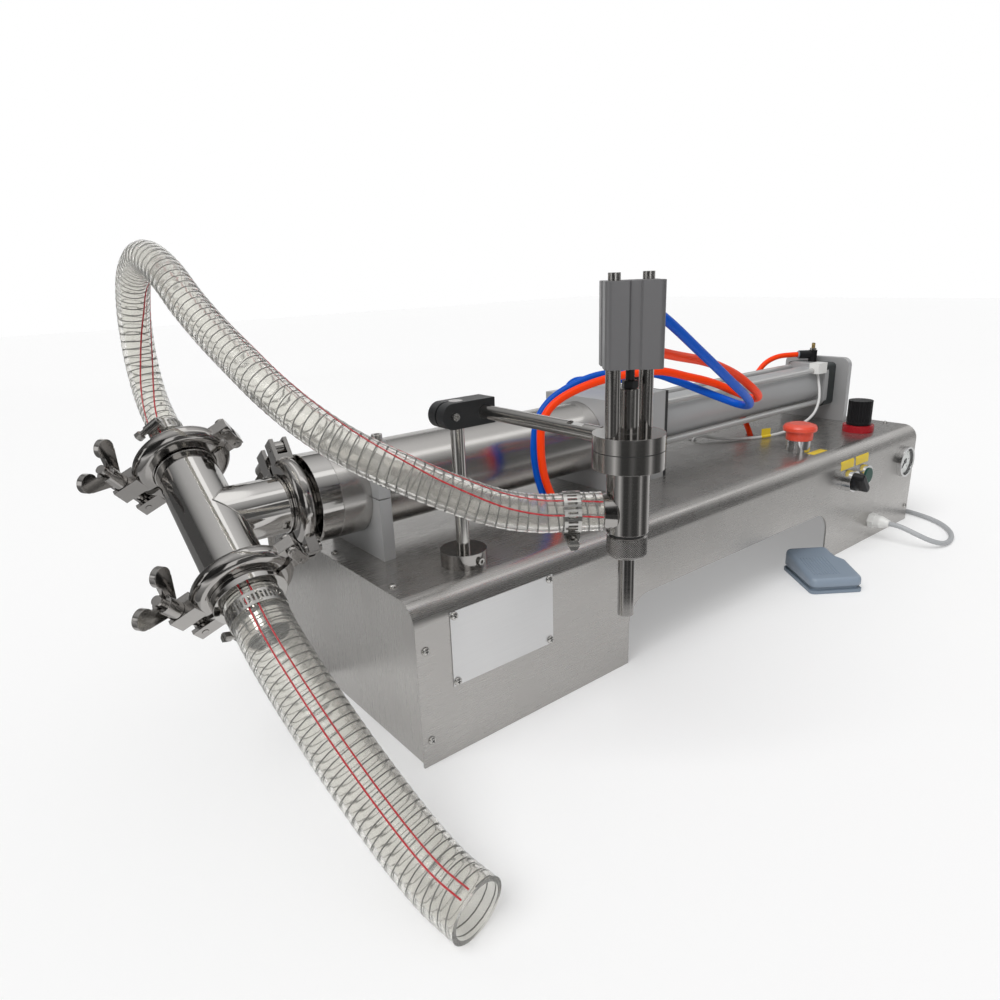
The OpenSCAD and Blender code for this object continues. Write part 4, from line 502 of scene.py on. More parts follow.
def wire_hose(name, route, outer_r, bore_r, stripes, twist=((0, 0), (1, 0))):
    """A clear ribbed hose with its bore, a wire wound in its wall and coloured stripes, turned by its twist."""
    path = evenly(smooth_path(route, HOSE_STEP), RIB_PITCH / WIRE_STEPS)
    across = side_frames(path)
    count = len(path)

    def off(i, radius, turn):
        return path[i] + around(across[i], radius, turn)

    bm = bmesh.new()
    places = [*range(0, count - 1, WIRE_STEPS // RINGS_PER_RIB), count - 1]
    outer, inner = [], []
    for i in places:
        wave = 0.5 - 0.5 * math.cos(2 * math.pi * i / WIRE_STEPS)
        depth = 0 if i == count - 1 else RIB_DEPTH * wave
        outer.append(ring(bm, path[i], across[i], outer_r - depth, HOSE_SIDES))
        inner.append(ring(bm, path[i], across[i], bore_r, HOSE_SIDES))
    for k in range(len(places) - 1):
        skin(bm, outer[k], outer[k + 1])
        skin(bm, inner[k], inner[k + 1])
    skin(bm, inner[0], outer[0])
    skin(bm, outer[-1], inner[-1])
    wire_r = outer_r - RIB_DEPTH - WIRE_R - WIRE_INSET
    wound = range(WIRE_MARGIN, count - WIRE_MARGIN)
    add_tube(bm, [off(i, wire_r, 2 * math.pi * i / WIRE_STEPS) for i in wound], WIRE_R, LINE_SIDES, 1)
    for turn in stripes:
        line = [off(i, outer_r - STRIPE_R, math.radians(turn + between(twist, i / (count - 1))))
                for i in range(0, count, WIRE_STEPS // 2)]
        add_tube(bm, line, STRIPE_R, LINE_SIDES, 2)
    return finish_piece(name, bm, ["clear", "wire", "stripe"]), path


# Hoses: where their stripes start, in degrees, and how the product hose turns along its length
HOSE_STRIPES, SUCTION_STRIPES = (-180, -134), (-61, -80)
HOSE_TWIST = ((0, 0), (0.174, 40), (0.32, 92), (0.58, 135), (0.77, 176), (0.85, 215), (0.94, 266), (1, 295))
product_hose = wire_hose("clear_product_hose", HOSE_ROUTE, HOSE_R, HOSE_BORE_R, HOSE_STRIPES, HOSE_TWIST)[0]
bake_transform(product_hose)
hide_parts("product_hose")

suction_hose, suction_path = wire_hose("clear_suction_hose", SUCTION_ROUTE, SUCTION_R, SUCTION_BORE_R,
                                       SUCTION_STRIPES)
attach(suction_hose, "root")
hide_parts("suction_hose")

# Air tubes and the sensor's cable
for name, route, key in (("actuator_tube_blue", BLUE_ROUTE, "blue"),
                         ("actuator_tube_orange", ORANGE_ROUTE, "orange")):
    piece = tube_piece(name, route, AIR_TUBE_R, key)
    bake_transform(piece)
    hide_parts("actuator_tubes")
for name, route, key in (("rear_air_tube", REAR_TUBE_ROUTE, "orange"),
                         ("front_air_tube", FRONT_TUBE_ROUTE, "blue")):
    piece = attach(tube_piece(name, route, AIR_TUBE_R, key), "root")
    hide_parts("cylinder_air_tubes")
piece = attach(tube_piece("sensor_lead", SENSOR_ROUTE, SENSOR_LEAD_R, "pale_cable", sides=12), "root")
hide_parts("sensor_cable")


# Mains lead: along its route, then twice round inwards and twice outwards on top, to the plug
def coil_point(turn):
    layer = turn if turn < COIL_ALL_TURNS / 2 else COIL_ALL_TURNS - turn
    r = COIL_R - COIL_STEP * layer
    rise = min(1, max(0, 2 * (turn - COIL_TURNS)))
    a = 2 * math.pi * turn
    z = COIL_STEP * (1 - math.cos(math.pi * rise)) / 2
    return COIL_AT + Vector((-r * math.sin(a), -r * math.cos(a), z))


coil_count = int(COIL_ALL_TURNS * COIL_RINGS)
mains_path = smooth_path(MAINS_ROUTE, MAINS_STEP)[:-1]
mains_path += [coil_point(i / COIL_RINGS) for i in range(coil_count + 1)]
mains_path += [Vector(p) for p in COIL_TAIL]
line = bpy.data.curves.new("mains_lead", "CURVE")
line.dimensions = "3D"
line.bevel_depth = MAINS_R
line.bevel_resolution = 4
line.use_fill_caps = True
spline = line.splines.new("POLY")
spline.points.add(len(mains_path) - 1)
for point, place in zip(spline.points, mains_path):
    point.co = (*place, 1)
spline.use_smooth = True
line.materials.append(looks["cable"])
mains_lead = add_object("mains_lead", line)
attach(mains_lead, "root")
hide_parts("mains_cable", "mains_coil")

# Coil tie: a strap over the turns, on the side away from the plug
TIE_IN, TIE_OUT, TIE_TOP = 0.0242, 0.0488, 0.0158
TIE_T, TIE_W, TIE_R = 0.0010, 0.009, 0.006
TIE_FOOT, TIE_FOOT_R = 0.0002, 0.0001
bm = bmesh.new()
coil_side = frame_at(Vector((COIL_AT.x, COIL_AT.y, 0)), Y_WAY, -X_WAY)
strap = []
for by in (0, TIE_T):
    near, far, top, corner = TIE_IN + by, TIE_OUT - by, TIE_TOP - by, TIE_R - by
    arch = filleted([(near, TIE_FOOT, TIE_FOOT_R), (far, TIE_FOOT, TIE_FOOT_R), (far, top, corner),
                     (near, top, corner)])
    strap += [[bm.verts.new(coil_side @ Vector((x, y, z))) for x, y in arch] for z in (-TIE_W / 2, TIE_W / 2)]
for low, high in ((0, 1), (2, 3), (0, 2), (1, 3)):
    skin(bm, strap[low], strap[high])
finish_piece("coil_tie", bm, ["black_plastic"], "black_plastic")

# Worm clamps: a slotted band, its housing and its screw; local Y points at the housing
BAND_T, BAND_W, BAND_GAP = 0.0008, 0.012, 0.0002
SLOT_PITCH, SLOT_SHARE, SLOT_L = 0.0032, 0.5, 0.0066
PLAIN_SHARE, HUMP_STEPS = 0.11, 10
HOUSING_L, HOUSING_W, HOUSING_STRAIGHT, HOUSING_R = 0.014, 0.0112, 0.0030, 0.0050
SCREW_R, SCREW_RISE, SCREW_TAIL, SCREW_NECK = 0.0026, 0.0045, -0.009, 0.012
SCREW_HEAD_R, SCREW_HEAD_L, SCREW_SLOT, SCREW_SLOT_DEPTH = 0.00425, 0.005, 0.0013, 0.0018


def slotted_band(bm, place, inner_r):
    count = round(2 * math.pi * inner_r / SLOT_PITCH)
    cuts = [-BAND_W / 2, -SLOT_L / 2, SLOT_L / 2, BAND_W / 2]
    turns = [math.pi / 2 + 2 * math.pi * (k + share) / count
             for k in range(count) for share in (0, 1 - SLOT_SHARE)]
    columns = [[[bm.verts.new(place @ polar(r, a, z)) for r in (inner_r, inner_r + BAND_T)] for z in cuts]
               for a in turns]

    def wall(a, b):
        bm.faces.new([a[0], b[0], b[1], a[1]])

    last = len(turns)
    for j, here in enumerate(columns):
        there = columns[(j + 1) % last]
        cut = j % 2 == 1 and min(j, last - j) / last > PLAIN_SHARE
        for i in range(3):
            if cut and i == 1:
                wall(here[1], here[2])
                wall(there[1], there[2])
                wall(here[1], there[1])
                wall(here[2], there[2])
                continue
            for layer in (0, 1):
                bm.faces.new([here[i][layer], there[i][layer], there[i + 1][layer], here[i + 1][layer]])
        wall(here[0], there[0])
        wall(here[3], there[3])


def worm_clamp(name, at, along, housing_way, hose_r, body, node):
    place = frame_at(at, along, housing_way.cross(along))
    inner_r = hose_r + BAND_GAP
    bm = bmesh.new()
    slotted_band(bm, place, inner_r)
    arc = [math.pi * k / HUMP_STEPS for k in range(HUMP_STEPS + 1)]
    hump = [(-HOUSING_W / 2, 0), (-HOUSING_W / 2, HOUSING_STRAIGHT)]
    hump += [(-HOUSING_R * math.cos(a), HOUSING_STRAIGHT + HOUSING_R * math.sin(a)) for a in arc]
    hump += [(HOUSING_W / 2, HOUSING_STRAIGHT), (HOUSING_W / 2, 0)]
    across = place @ frame_at(Vector((0, inner_r, 0)), -X_WAY, Z_WAY)
    prism(bm, hump, -HOUSING_L / 2, HOUSING_L / 2, across)
    screw = place @ frame_at(Vector((0, inner_r + SCREW_RISE, 0)), X_WAY, Z_WAY)
    lathe(bm, [(0, SCREW_TAIL), (SCREW_R, SCREW_TAIL), (SCREW_R, SCREW_NECK), (0, SCREW_NECK)], screw, 20)
    hexagon = regular(6, SCREW_HEAD_R)
    slot_floor = SCREW_NECK + SCREW_HEAD_L - SCREW_SLOT_DEPTH
    prism(bm, hexagon, SCREW_NECK, slot_floor, screw)
    side_y = SCREW_HEAD_R * math.sin(math.pi / 3)
    end_x = SCREW_HEAD_R - SCREW_SLOT / 2 / math.tan(math.pi / 3)
    for s in (-1, 1):
        half = [(-end_x, s * SCREW_SLOT / 2), (end_x, s * SCREW_SLOT / 2), (SCREW_HEAD_R / 2, s * side_y),
                (-SCREW_HEAD_R / 2, s * side_y)]
        prism(bm, half, slot_floor, SCREW_NECK + SCREW_HEAD_L, screw)
    piece = finish_piece(name, bm, ["band"], "fastener_steel", body)
    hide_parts(node)


UPPER_CLAMP_OUT, SUCTION_CLAMP_OUT, INLET_CLAMP_OUT = 0.038, 0.028, 0.0396
UPPER_HOUSING, LOWER_HOUSING = math.radians(135), math.radians(250)
worm_clamp("upper_hose_clamp", TEE_AT - (RUN_OUT + UPPER_CLAMP_OUT) * RUN_DOWN, -RUN_DOWN,
           around((X_WAY, RUN_SIDE), 1, UPPER_HOUSING), HOSE_R, "root", "hose_clamps")
worm_clamp("suction_hose_clamp", TEE_AT + (RUN_OUT + SUCTION_CLAMP_OUT) * RUN_DOWN, RUN_DOWN,
           around((X_WAY, RUN_SIDE), 1, LOWER_HOUSING), SUCTION_R, "root", "hose_clamps")
worm_clamp("inlet_hose_clamp", NOZZLE_AT + INLET_Z * Z_WAY + INLET_CLAMP_OUT * INLET_WAY, -INLET_WAY,
           -Z_WAY, HOSE_R, "arm", "nozzle_hose_clamp")

# Tee: weld beads where the branch joins the run, and beside each ferrule
BEAD_R, BEAD_FLAT, BEAD_STEPS = 0.0007, 0.6, 36
FERRULE_WELD = 0.0600
bm = bmesh.new()
for start in (-90, 90):
    seam = []
    for k in range(BEAD_STEPS + 1):
        a = math.radians(start + 180 * k / BEAD_STEPS)
        seam.append(TEE_AT + PIPE_R * (around((RUN_DOWN, RUN_SIDE), 1, a) + abs(math.cos(a)) * X_WAY))
    add_tube(bm, seam, BEAD_R, LINE_SIDES)
bead = [(PIPE_R + x, BEAD_FLAT * y) for x, y in regular(LINE_SIDES, BEAD_R)]
for way in (RUN_DOWN, -RUN_DOWN, X_WAY):
    lathe(bm, bead, frame_at(TEE_AT + FERRULE_WELD * way, way, RUN_SIDE), 64)
finish_piece("tee_welds", bm, ["polished"], "polished_steel")

# Nozzle: the seal above its nut, the knurl of the nut and the joint of its flanges
KNURL_COUNT, KNURL_DEPTH, KNURL_FINE, KNURL_MARGIN = 52, 0.0005, 4, 0.0014
SEAL_LIP, SEAL_BULGE = 0.0004, 0.0010
JOINT_HALF, JOINT_PROUD = 0.0003, 0.00005
nozzle_frame = frame_at(NOZZLE_AT, Z_WAY)
bm = bmesh.new()
lathe(bm, [(SEAL_R - SEAL_LIP, NUT_HIGH), (SEAL_R + SEAL_LIP, NUT_HIGH),
           (SEAL_R + SEAL_BULGE, NUT_HIGH + SEAL_BULGE), (SEAL_R + SEAL_LIP, SEAL_HIGH),
           (SEAL_R - SEAL_LIP, SEAL_HIGH)], nozzle_frame)
joint_low, joint_high = FLANGE_JOINT_Z - JOINT_HALF, FLANGE_JOINT_Z + JOINT_HALF
lathe(bm, [(FLANGE_R - SEAL_LIP, joint_low), (FLANGE_R + JOINT_PROUD, joint_low),
           (FLANGE_R + JOINT_PROUD, joint_high), (FLANGE_R - SEAL_LIP, joint_high)], nozzle_frame, 64)
finish_piece("nozzle_seals", bm, ["seal"], "black_metal", "arm")

bm = bmesh.new()
knurl_low, knurl_high = NUT_LOW + KNURL_MARGIN, NUT_HIGH - KNURL_MARGIN
pitch = 2 * math.pi * NUT_R / KNURL_COUNT
rows = round((knurl_high - knurl_low) / pitch * KNURL_FINE)
columns = KNURL_COUNT * KNURL_FINE


def ridge(steps):
    """Height of one set of ridges, from 0 in its grooves to 1 on its crests."""
    share = (steps / KNURL_FINE) % 1.0
    return 1 - abs(2 * share - 1)


knurl = []
for j in range(rows + 1):
    z = knurl_low + (knurl_high - knurl_low) * j / rows
    edge_row = j in (0, rows)
    row = []
    for i in range(columns):
        rise = 0 if edge_row else KNURL_DEPTH * min(ridge(i + j), ridge(i - j))
        row.append(bm.verts.new(NOZZLE_AT + polar(NUT_R + rise, 2 * math.pi * i / columns, z)))
    knurl.append(row)
loft(bm, knurl)
for row, z in ((knurl[0], knurl_low), (knurl[-1], knurl_high)):
    inner = ring(bm, NOZZLE_AT + z * Z_WAY, (X_WAY, Y_WAY), NUT_R - KNURL_DEPTH, columns)
    skin(bm, inner, row)
    knurl.append(inner)
skin(bm, knurl[-2], knurl[-1])
finish_piece("nut_knurl", bm, ["tip"], "turned_steel", "arm")

# Panel screws: domed heads, each with a near-black cross just proud of the dome, painted shade of a cross
# recess
SCREW_IN = 0.009
SCREW_EDGE_X = RIGHT_X - SCREW_IN
SCREW_ROWS_Y, SCREW_ROWS_Z, SCREW_TURN = (-0.105, 0, 0.105), (0.024, 0.108), 0.9
NAMEPLATE_X, NAMEPLATE_Z, NAMEPLATE_T = (-0.417, -0.311), (0.069, 0.130), 0.0008
DOME = [(0, 0), (0.0037, 0), (0.0037, 0.0006), (0.0034, 0.0013), (0.0026, 0.0019), (0.0014, 0.00226),
        (0, 0.00236)]
CROSS_L, CROSS_W, CROSS_CORNER, CROSS_LOW, CROSS_HIGH = 0.0034, 0.0008, 0.0003, 0.0012, 0.00240
screw_places = [(Vector((s * SCREW_EDGE_X, y, DECK_Z)), Z_WAY) for s in (-1, 1) for y in SCREW_ROWS_Y]
screw_places += [(Vector((s * SCREW_EDGE_X, t * -FRONT_Y, z)), t * Y_WAY)
                 for s in (-1, 1) for t in (-1, 1) for z in SCREW_ROWS_Z]
screw_places += [(Vector((x, FRONT_Y - NAMEPLATE_T, z)), -Y_WAY) for x in NAMEPLATE_X for z in NAMEPLATE_Z]
bm = bmesh.new()
for number, (at, way) in enumerate(screw_places):
    place = frame_at(at, way) @ Matrix.Rotation(SCREW_TURN * number, 4, "Z")
    lathe(bm, DOME, place, 28)
    # The cross is raised, not sunk: its dark colour paints the shade of a recess
    for size in ((CROSS_L, CROSS_W), (CROSS_W, CROSS_L)):
        prism(bm, rounded_square(*size, CROSS_CORNER), CROSS_LOW, CROSS_HIGH, place, 1)
finish_piece("panel_screw_heads", bm, ["screw", "recess"], "fastener_steel")

# Blank tags beside the controls: two bend over the front fold, one lies on the deck
TAG_T, TAG_LIFT = 0.00025, 0.00003
FOLD_TOP_Z = DECK_Z - FOLD_R
TAG_ROWS, TAG_LOW, TAG_L = 8, -0.0060, 0.0125
FRONT_TAGS_X = ((0.223, 0.258), (0.264, 0.300))
DECK_TAG_X, DECK_TAG_Y = (0.187, 0.221), (-0.1298, -0.1190)


def tag(bm, x_low, x_high, line):
    """A thin strip between two X places: each point of its line has a place and a way out."""
    rings = []
    for at, way in line:
        inner, outer = at + TAG_LIFT * way, at + (TAG_LIFT + TAG_T) * way
        rings.append([bm.verts.new(Vector((x, p.y, p.z))) for x, p in
                      ((x_low, inner), (x_high, inner), (x_high, outer), (x_low, outer))])
    loft(bm, rings, capped=True)


def fold_point(rise):
    """A place on the casing's front, by its height along the sheet above the start of the fold."""
    a = max(0, rise) / FOLD_R
    way = Vector((0, -math.cos(a), math.sin(a)))
    return Vector((0, FRONT_Y + FOLD_R, FOLD_TOP_Z + min(0, rise))) + FOLD_R * way, way


bm = bmesh.new()
fold_line = [fold_point(TAG_LOW + TAG_L * k / TAG_ROWS) for k in range(TAG_ROWS + 1)]
for ends in FRONT_TAGS_X:
    tag(bm, *ends, fold_line)
tag(bm, *DECK_TAG_X, [(Vector((0, y, DECK_Z)), Z_WAY) for y in DECK_TAG_Y])
finish_piece("control_tags", bm, ["yellow"], "plate_aluminium")

# A blank marker wrapped round the sensor's cable
MARKER_X, MARKER_T = (0.224, 0.243), 0.0003
FLAG_RISE, FLAG_LOW, FLAG_HIGH, FLAG_T, FLAG_CORNER = 0.0065, -0.006, 0.005, 0.0006, 0.0002
marker_path = [p for p in smooth_path(SENSOR_ROUTE, TUBE_STEP) if MARKER_X[0] < p.x < MARKER_X[1]]
bm = bmesh.new()
add_tube(bm, marker_path, SENSOR_LEAD_R + MARKER_T, 12)
flag_span = marker_path[-1] - marker_path[0]
flag_place = frame_at((marker_path[0] + marker_path[-1]) / 2 + FLAG_RISE * Z_WAY, Z_WAY, flag_span)
prism(bm, rounded_square(flag_span.length, FLAG_T, FLAG_CORNER), FLAG_LOW, FLAG_HIGH, flag_place)
finish_piece("cable_marker", bm, ["yellow"], "plate_aluminium")

# Gauge: dial, ring, scale, figures and glass
DIAL_R, DIAL_FLOOR, DIAL_T, DIAL_BORE_R = 0.0198, 0.0020, 0.0002, 0.0016
RING_FOOT_R, RING_TOP_R, RING_TOP = 0.0180, 0.0190, 0.0048
GLASS_LOW, GLASS_HIGH = 0.0052, 0.0058
SCALE_R, MAJOR_SIZE, MINOR_SIZE, SCALE_T = 0.0168, (0.0026, 0.0006), (0.0014, 0.0003), 0.0001
SCALE_STEPS, SCALE_MAJOR, SCALE_UNIT = 50, 10, 2
SCALE_START, SCALE_SWEEP = math.radians(225), math.radians(270)
FIGURE_SIZE, FIGURE_R = 0.0036, 0.0118
gauge_frame = frame_at(GAUGE_AT, -Y_WAY)
dial_top = DIAL_FLOOR + DIAL_T
bm = bmesh.new()
lathe(bm, [(DIAL_BORE_R, DIAL_FLOOR), (DIAL_R, DIAL_FLOOR), (DIAL_R, dial_top), (DIAL_BORE_R, dial_top)],
      gauge_frame, 64)
lathe(bm, [(RING_FOOT_R, DIAL_FLOOR), (DIAL_R, DIAL_FLOOR), (DIAL_R, RING_TOP), (RING_TOP_R, RING_TOP)],
      gauge_frame, 64, 1)
for k in range(SCALE_STEPS + 1):
    length, width = MINOR_SIZE if k % SCALE_MAJOR else MAJOR_SIZE
    turned = Matrix.Rotation(SCALE_START - SCALE_SWEEP * k / SCALE_STEPS, 4, "Z")
    tick = gauge_frame @ turned @ Matrix.Translation((SCALE_R - length / 2, 0, 0))
    w, h = length / 2, width / 2
    prism(bm, [(-w, -h), (w, -h), (w, h), (-w, h)], dial_top - SCALE_T, dial_top + SCALE_T, tick, 1)
for k in range(SCALE_STEPS // SCALE_MAJOR + 1):
    words = bpy.data.curves.new("figure", "FONT")
    words.body = str(SCALE_UNIT * k)
    words.size = FIGURE_SIZE
    words.align_x = words.align_y = "CENTER"
    words.extrude = SCALE_T
    figure = add_object("figure", words)
    shape = bpy.data.meshes.new_from_object(figure)
    a = SCALE_START - SCALE_SWEEP * k * SCALE_MAJOR / SCALE_STEPS
    shape.transform(gauge_frame @ Matrix.Translation(polar(FIGURE_R, a, dial_top)))
    shape.materials.clear()
    for face in shape.polygons:
        face.material_index = 1
    bm.from_mesh(shape)
    bpy.data.objects.remove(figure)
    bpy.data.meshes.remove(shape)
    bpy.data.curves.remove(words)
finish_piece("gauge_dial", bm, ["dial", "ink"], "white_plastic")
bm = bmesh.new()
lathe(bm, [(0, GLASS_LOW), (DIAL_R, GLASS_LOW), (DIAL_R, GLASS_HIGH), (0, GLASS_HIGH)], gauge_frame, 64)
finish_piece("gauge_glass", bm, ["glass"], "clear_hose")

# Selector: a rounded lever on a disc
SELECTOR_AT = Vector((0.242, FRONT_Y, 0.108))
SELECTOR_LOW, SELECTOR_HIGH, DISC_R, DISC_T, DISC_EDGE = 0.0124, 0.0277, 0.012, 0.005, 0.001
LEVER_L, LEVER_W, LEVER_R, LEVER_TURN = 0.032, 0.0105, 0.00505, math.radians(40)
LEVER_SOFT, LEVER_EASE = 0.002, 0.0006
selector_frame = frame_at(SELECTOR_AT, -Y_WAY)
lever_frame = selector_frame @ Matrix.Rotation(LEVER_TURN, 4, "Z")
bm = bmesh.new()
disc_top = SELECTOR_LOW + DISC_T
lathe(bm, [(0, SELECTOR_LOW), (DISC_R, SELECTOR_LOW), (DISC_R, disc_top - DISC_EDGE),
           (DISC_R - DISC_EDGE, disc_top), (0, disc_top)], selector_frame, 40)
lever_outline = rounded_square(LEVER_W, LEVER_L, LEVER_R)
lever_levels = ((0, SELECTOR_LOW), (0, SELECTOR_HIGH - LEVER_SOFT), (LEVER_EASE, SELECTOR_HIGH - LEVER_EASE),
                (LEVER_SOFT, SELECTOR_HIGH))
loft(bm, [[bm.verts.new(lever_frame @ Vector((p.x, p.y, z))) for p in inset(lever_outline, drawn_in)]
          for drawn_in, z in lever_levels], capped=True)
lever = finish_piece("selector_lever", bm, ["black_plastic"], "black_plastic", "selector_handle")
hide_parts("selector_handle")

# Stop: the skirt of its head, over its collar
STOP_AT = Vector((0.195, -0.102, DECK_Z))
STOP_R, STOP_BORE_R, STOP_LOW, STOP_HIGH, STOP_EDGE = 0.0174, 0.0159, 0.0160, 0.0222, 0.0004
bm = bmesh.new()
lathe(bm, [(STOP_BORE_R, STOP_LOW), (STOP_R - STOP_EDGE, STOP_LOW), (STOP_R, STOP_LOW + STOP_EDGE),
           (STOP_R, STOP_HIGH), (STOP_BORE_R, STOP_HIGH)], frame_at(STOP_AT, Z_WAY))
finish_piece("stop_skirt", bm, ["red"], "red_plastic", "stop_head")

# Air fittings: release rings of the push-in sockets, and the needle of the rear flow control
REAR_PORT_X, FRONT_PORT_X, SOCKET_L = 0.401, -0.017, 0.022
PORT_TOP, REAR_RISE, FRONT_RISE = 0.2415, 0.012, 0.024
REAR_TURN = math.radians(40)
PORT_OUT, PORT_HEIGHTS = 0.031, (0.378, 0.342)
INLET_SOCKET = Vector((0.470, 0.060, 0.060))
RELEASE = [(0.0042, -0.0010), (0.0054, -0.0010), (0.0058, 0.0012), (0.0050, 0.0022), (0.0042, 0.0022)]
rear_way = Vector((-math.cos(REAR_TURN), math.sin(REAR_TURN), 0))
bm = bmesh.new()
for at, way in ((Vector((REAR_PORT_X, 0, PORT_TOP + REAR_RISE)) + SOCKET_L * rear_way, rear_way),
                (Vector((FRONT_PORT_X - SOCKET_L, 0, PORT_TOP + FRONT_RISE)), -X_WAY), (INLET_SOCKET, X_WAY)):
    lathe(bm, RELEASE, frame_at(at, way, Z_WAY), 32)
finish_piece("release_rings", bm, ["grey_ring"], "black_plastic")
port_way = Vector((-math.sin(NOZZLE_TURN), math.cos(NOZZLE_TURN), 0))
bm = bmesh.new()
for z in PORT_HEIGHTS:
    lathe(bm, RELEASE, frame_at(NOZZLE_AT + PORT_OUT * port_way + z * Z_WAY, port_way, Z_WAY), 32)
finish_piece("actuator_release_rings", bm, ["grey_ring"], "black_plastic", "arm")
NEEDLE = [(0, 0.003), (0.0027, 0.003), (0.0027, 0.0102), (0.0016, 0.0113), (0, 0.0113)]
NEEDLE_RISE, LOCKNUT_R, LOCKNUT_Z = 0.0065, 0.0047, (-0.0001, 0.0032)
needle_frame = frame_at(Vector((REAR_PORT_X, 0, PORT_TOP + REAR_RISE + NEEDLE_RISE)), Z_WAY)
bm = bmesh.new()
prism(bm, regular(6, LOCKNUT_R), *LOCKNUT_Z, needle_frame, 1)
lathe(bm, NEEDLE, needle_frame, 24)
finish_piece("flow_needle", bm, ["brass", "screw"], "fastener_steel")

# Air cylinder: the pale flange in front of its rear cap
FLANGE_X = (0.3797, 0.3925)
FLANGE_W, FLANGE_CORNER, FLANGE_LIP, FLANGE_LAP = 0.068, 0.015, 0.0012, 0.0001
bm = bmesh.new()
flange_frame = frame_at(Vector((0, 0, AXIS_Z)), X_WAY, Y_WAY)
flange_outline = rounded_square(FLANGE_W, FLANGE_W, FLANGE_CORNER)
lip_top = FLANGE_X[0] + FLANGE_LIP
prism(bm, flange_outline, lip_top, FLANGE_X[1], flange_frame)
prism(bm, inset(flange_outline, FLANGE_LIP), FLANGE_X[0], lip_top + FLANGE_LAP, flange_frame)
finish_piece("cylinder_flange", bm, ["aluminium"], "grey_aluminium")

# Centre block: the black plate at its end, round the front cap of the air cylinder
PLATE_NEAR, PLATE_FAR = -0.0309, -0.0252
PLATE_OUTER, PLATE_HOLE = (0.0525, -0.0580, 0.0470), (0.0335, -0.0335, 0.0335)
bm = bmesh.new()
rings = []
for x, (side, low, high) in ((PLATE_NEAR, PLATE_OUTER), (PLATE_FAR, PLATE_OUTER), (PLATE_FAR, PLATE_HOLE),
                             (PLATE_NEAR, PLATE_HOLE)):
    rings.append([bm.verts.new((x, y, AXIS_Z + z))
                  for y, z in ((-side, low), (side, low), (side, high), (-side, high))])
loft(bm, rings, closed=True)
finish_piece("block_end_plate", bm, ["black_metal"], "black_metal")

# Pedal: a moulded treadle with a rounded top, grip ribs and a shoulder, over the rim of its base
PEDAL_L, PEDAL_W, PEDAL_R = 0.084, 0.066, 0.009
SHOULDER_X, SHOULDER_IN, SHOULDER_R = (0.006, 0.018), 0.009, (0.007, 0.008)
PEDAL_FRONT_H, PEDAL_BACK_H, SKIRT_Z, PEDAL_WALL = 0.019, 0.030, 0.009, 0.0025
TOP_R, TOP_STEPS, SKIRT_IN, SKIRT_EDGE = 0.0050, 6, 0.0004, 0.0006
RIB_COUNT, RIB_R, RIB_SINK, RIB_STEP, RIB_PARTS = 9, 0.0011, 0.0004, 0.0040, 4
RIB_X, RIB_FIRST_Y = (-0.029, 0.012), 0.024
RIM_GAP, RIM_T, RIM_LOW, RIM_HIGH = 0.0006, 0.0016, 0.0038, 0.0125
pedal_frame = Matrix.Translation(PEDAL_AT) @ Matrix.Rotation(PEDAL_TURN, 4, "Z")
half_l, half_w = PEDAL_L / 2, PEDAL_W / 2
step_y = SHOULDER_IN - half_w
pedal_outline = filleted([(-half_l, -half_w, PEDAL_R), (SHOULDER_X[0], -half_w, SHOULDER_R[0]),
                          (SHOULDER_X[1], step_y, SHOULDER_R[1]), (half_l, step_y, SHOULDER_R[0]),
                          (half_l, half_w, PEDAL_R), (-half_l, half_w, PEDAL_R)], steps=8)


def treadle_top(x):
    return PEDAL_FRONT_H + (PEDAL_BACK_H - PEDAL_FRONT_H) * (x + half_l) / PEDAL_L


def pedal_ring(bm, drawn_in, height):
    """A ring of the pedal's outline; its height is a number, or a rule that takes X."""
    rise = height if callable(height) else lambda x: height
    return [bm.verts.new(pedal_frame @ Vector((p.x, p.y, rise(p.x)))) for p in inset(pedal_outline, drawn_in)]


bm = bmesh.new()
shell = [pedal_ring(bm, SKIRT_IN, SKIRT_Z), pedal_ring(bm, 0, SKIRT_Z + SKIRT_EDGE)]
for k in range(TOP_STEPS + 1):
    a = math.pi / 2 * k / TOP_STEPS
    drop = TOP_R * (1 - math.sin(a))
    shell.append(pedal_ring(bm, TOP_R * (1 - math.cos(a)), lambda x: treadle_top(x) - drop))
inside = [pedal_ring(bm, PEDAL_WALL, SKIRT_Z),
          pedal_ring(bm, PEDAL_WALL, lambda x: treadle_top(x) - PEDAL_WALL)]
loft(bm, shell)
skin(bm, *inside)
skin(bm, shell[0], inside[0])
cap(bm, shell[-1])
cap(bm, inside[-1])
for k in range(RIB_COUNT):
    y = RIB_FIRST_Y - RIB_STEP * k
    xs = [RIB_X[0] + (RIB_X[1] - RIB_X[0]) * t / RIB_PARTS for t in range(RIB_PARTS + 1)]
    add_tube(bm, [pedal_frame @ Vector((x, y, treadle_top(x) - RIB_SINK)) for x in xs], RIB_R, 12)
treadle = finish_piece("pedal_treadle_shell", bm, ["pedal"], "pedal_plastic", "pedal_treadle")
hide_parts("pedal_treadle")
bm = bmesh.new()
rim_outer, rim_inner = PEDAL_WALL + RIM_GAP, PEDAL_WALL + RIM_GAP + RIM_T
rim = [pedal_ring(bm, drawn_in, z) for drawn_in, z in ((rim_outer, RIM_LOW), (rim_outer, RIM_HIGH),
                                                       (rim_inner, RIM_HIGH), (rim_inner, RIM_LOW))]
loft(bm, rim, closed=True)
finish_piece("pedal_base_rim", bm, ["pedal_base"], "pedal_plastic")


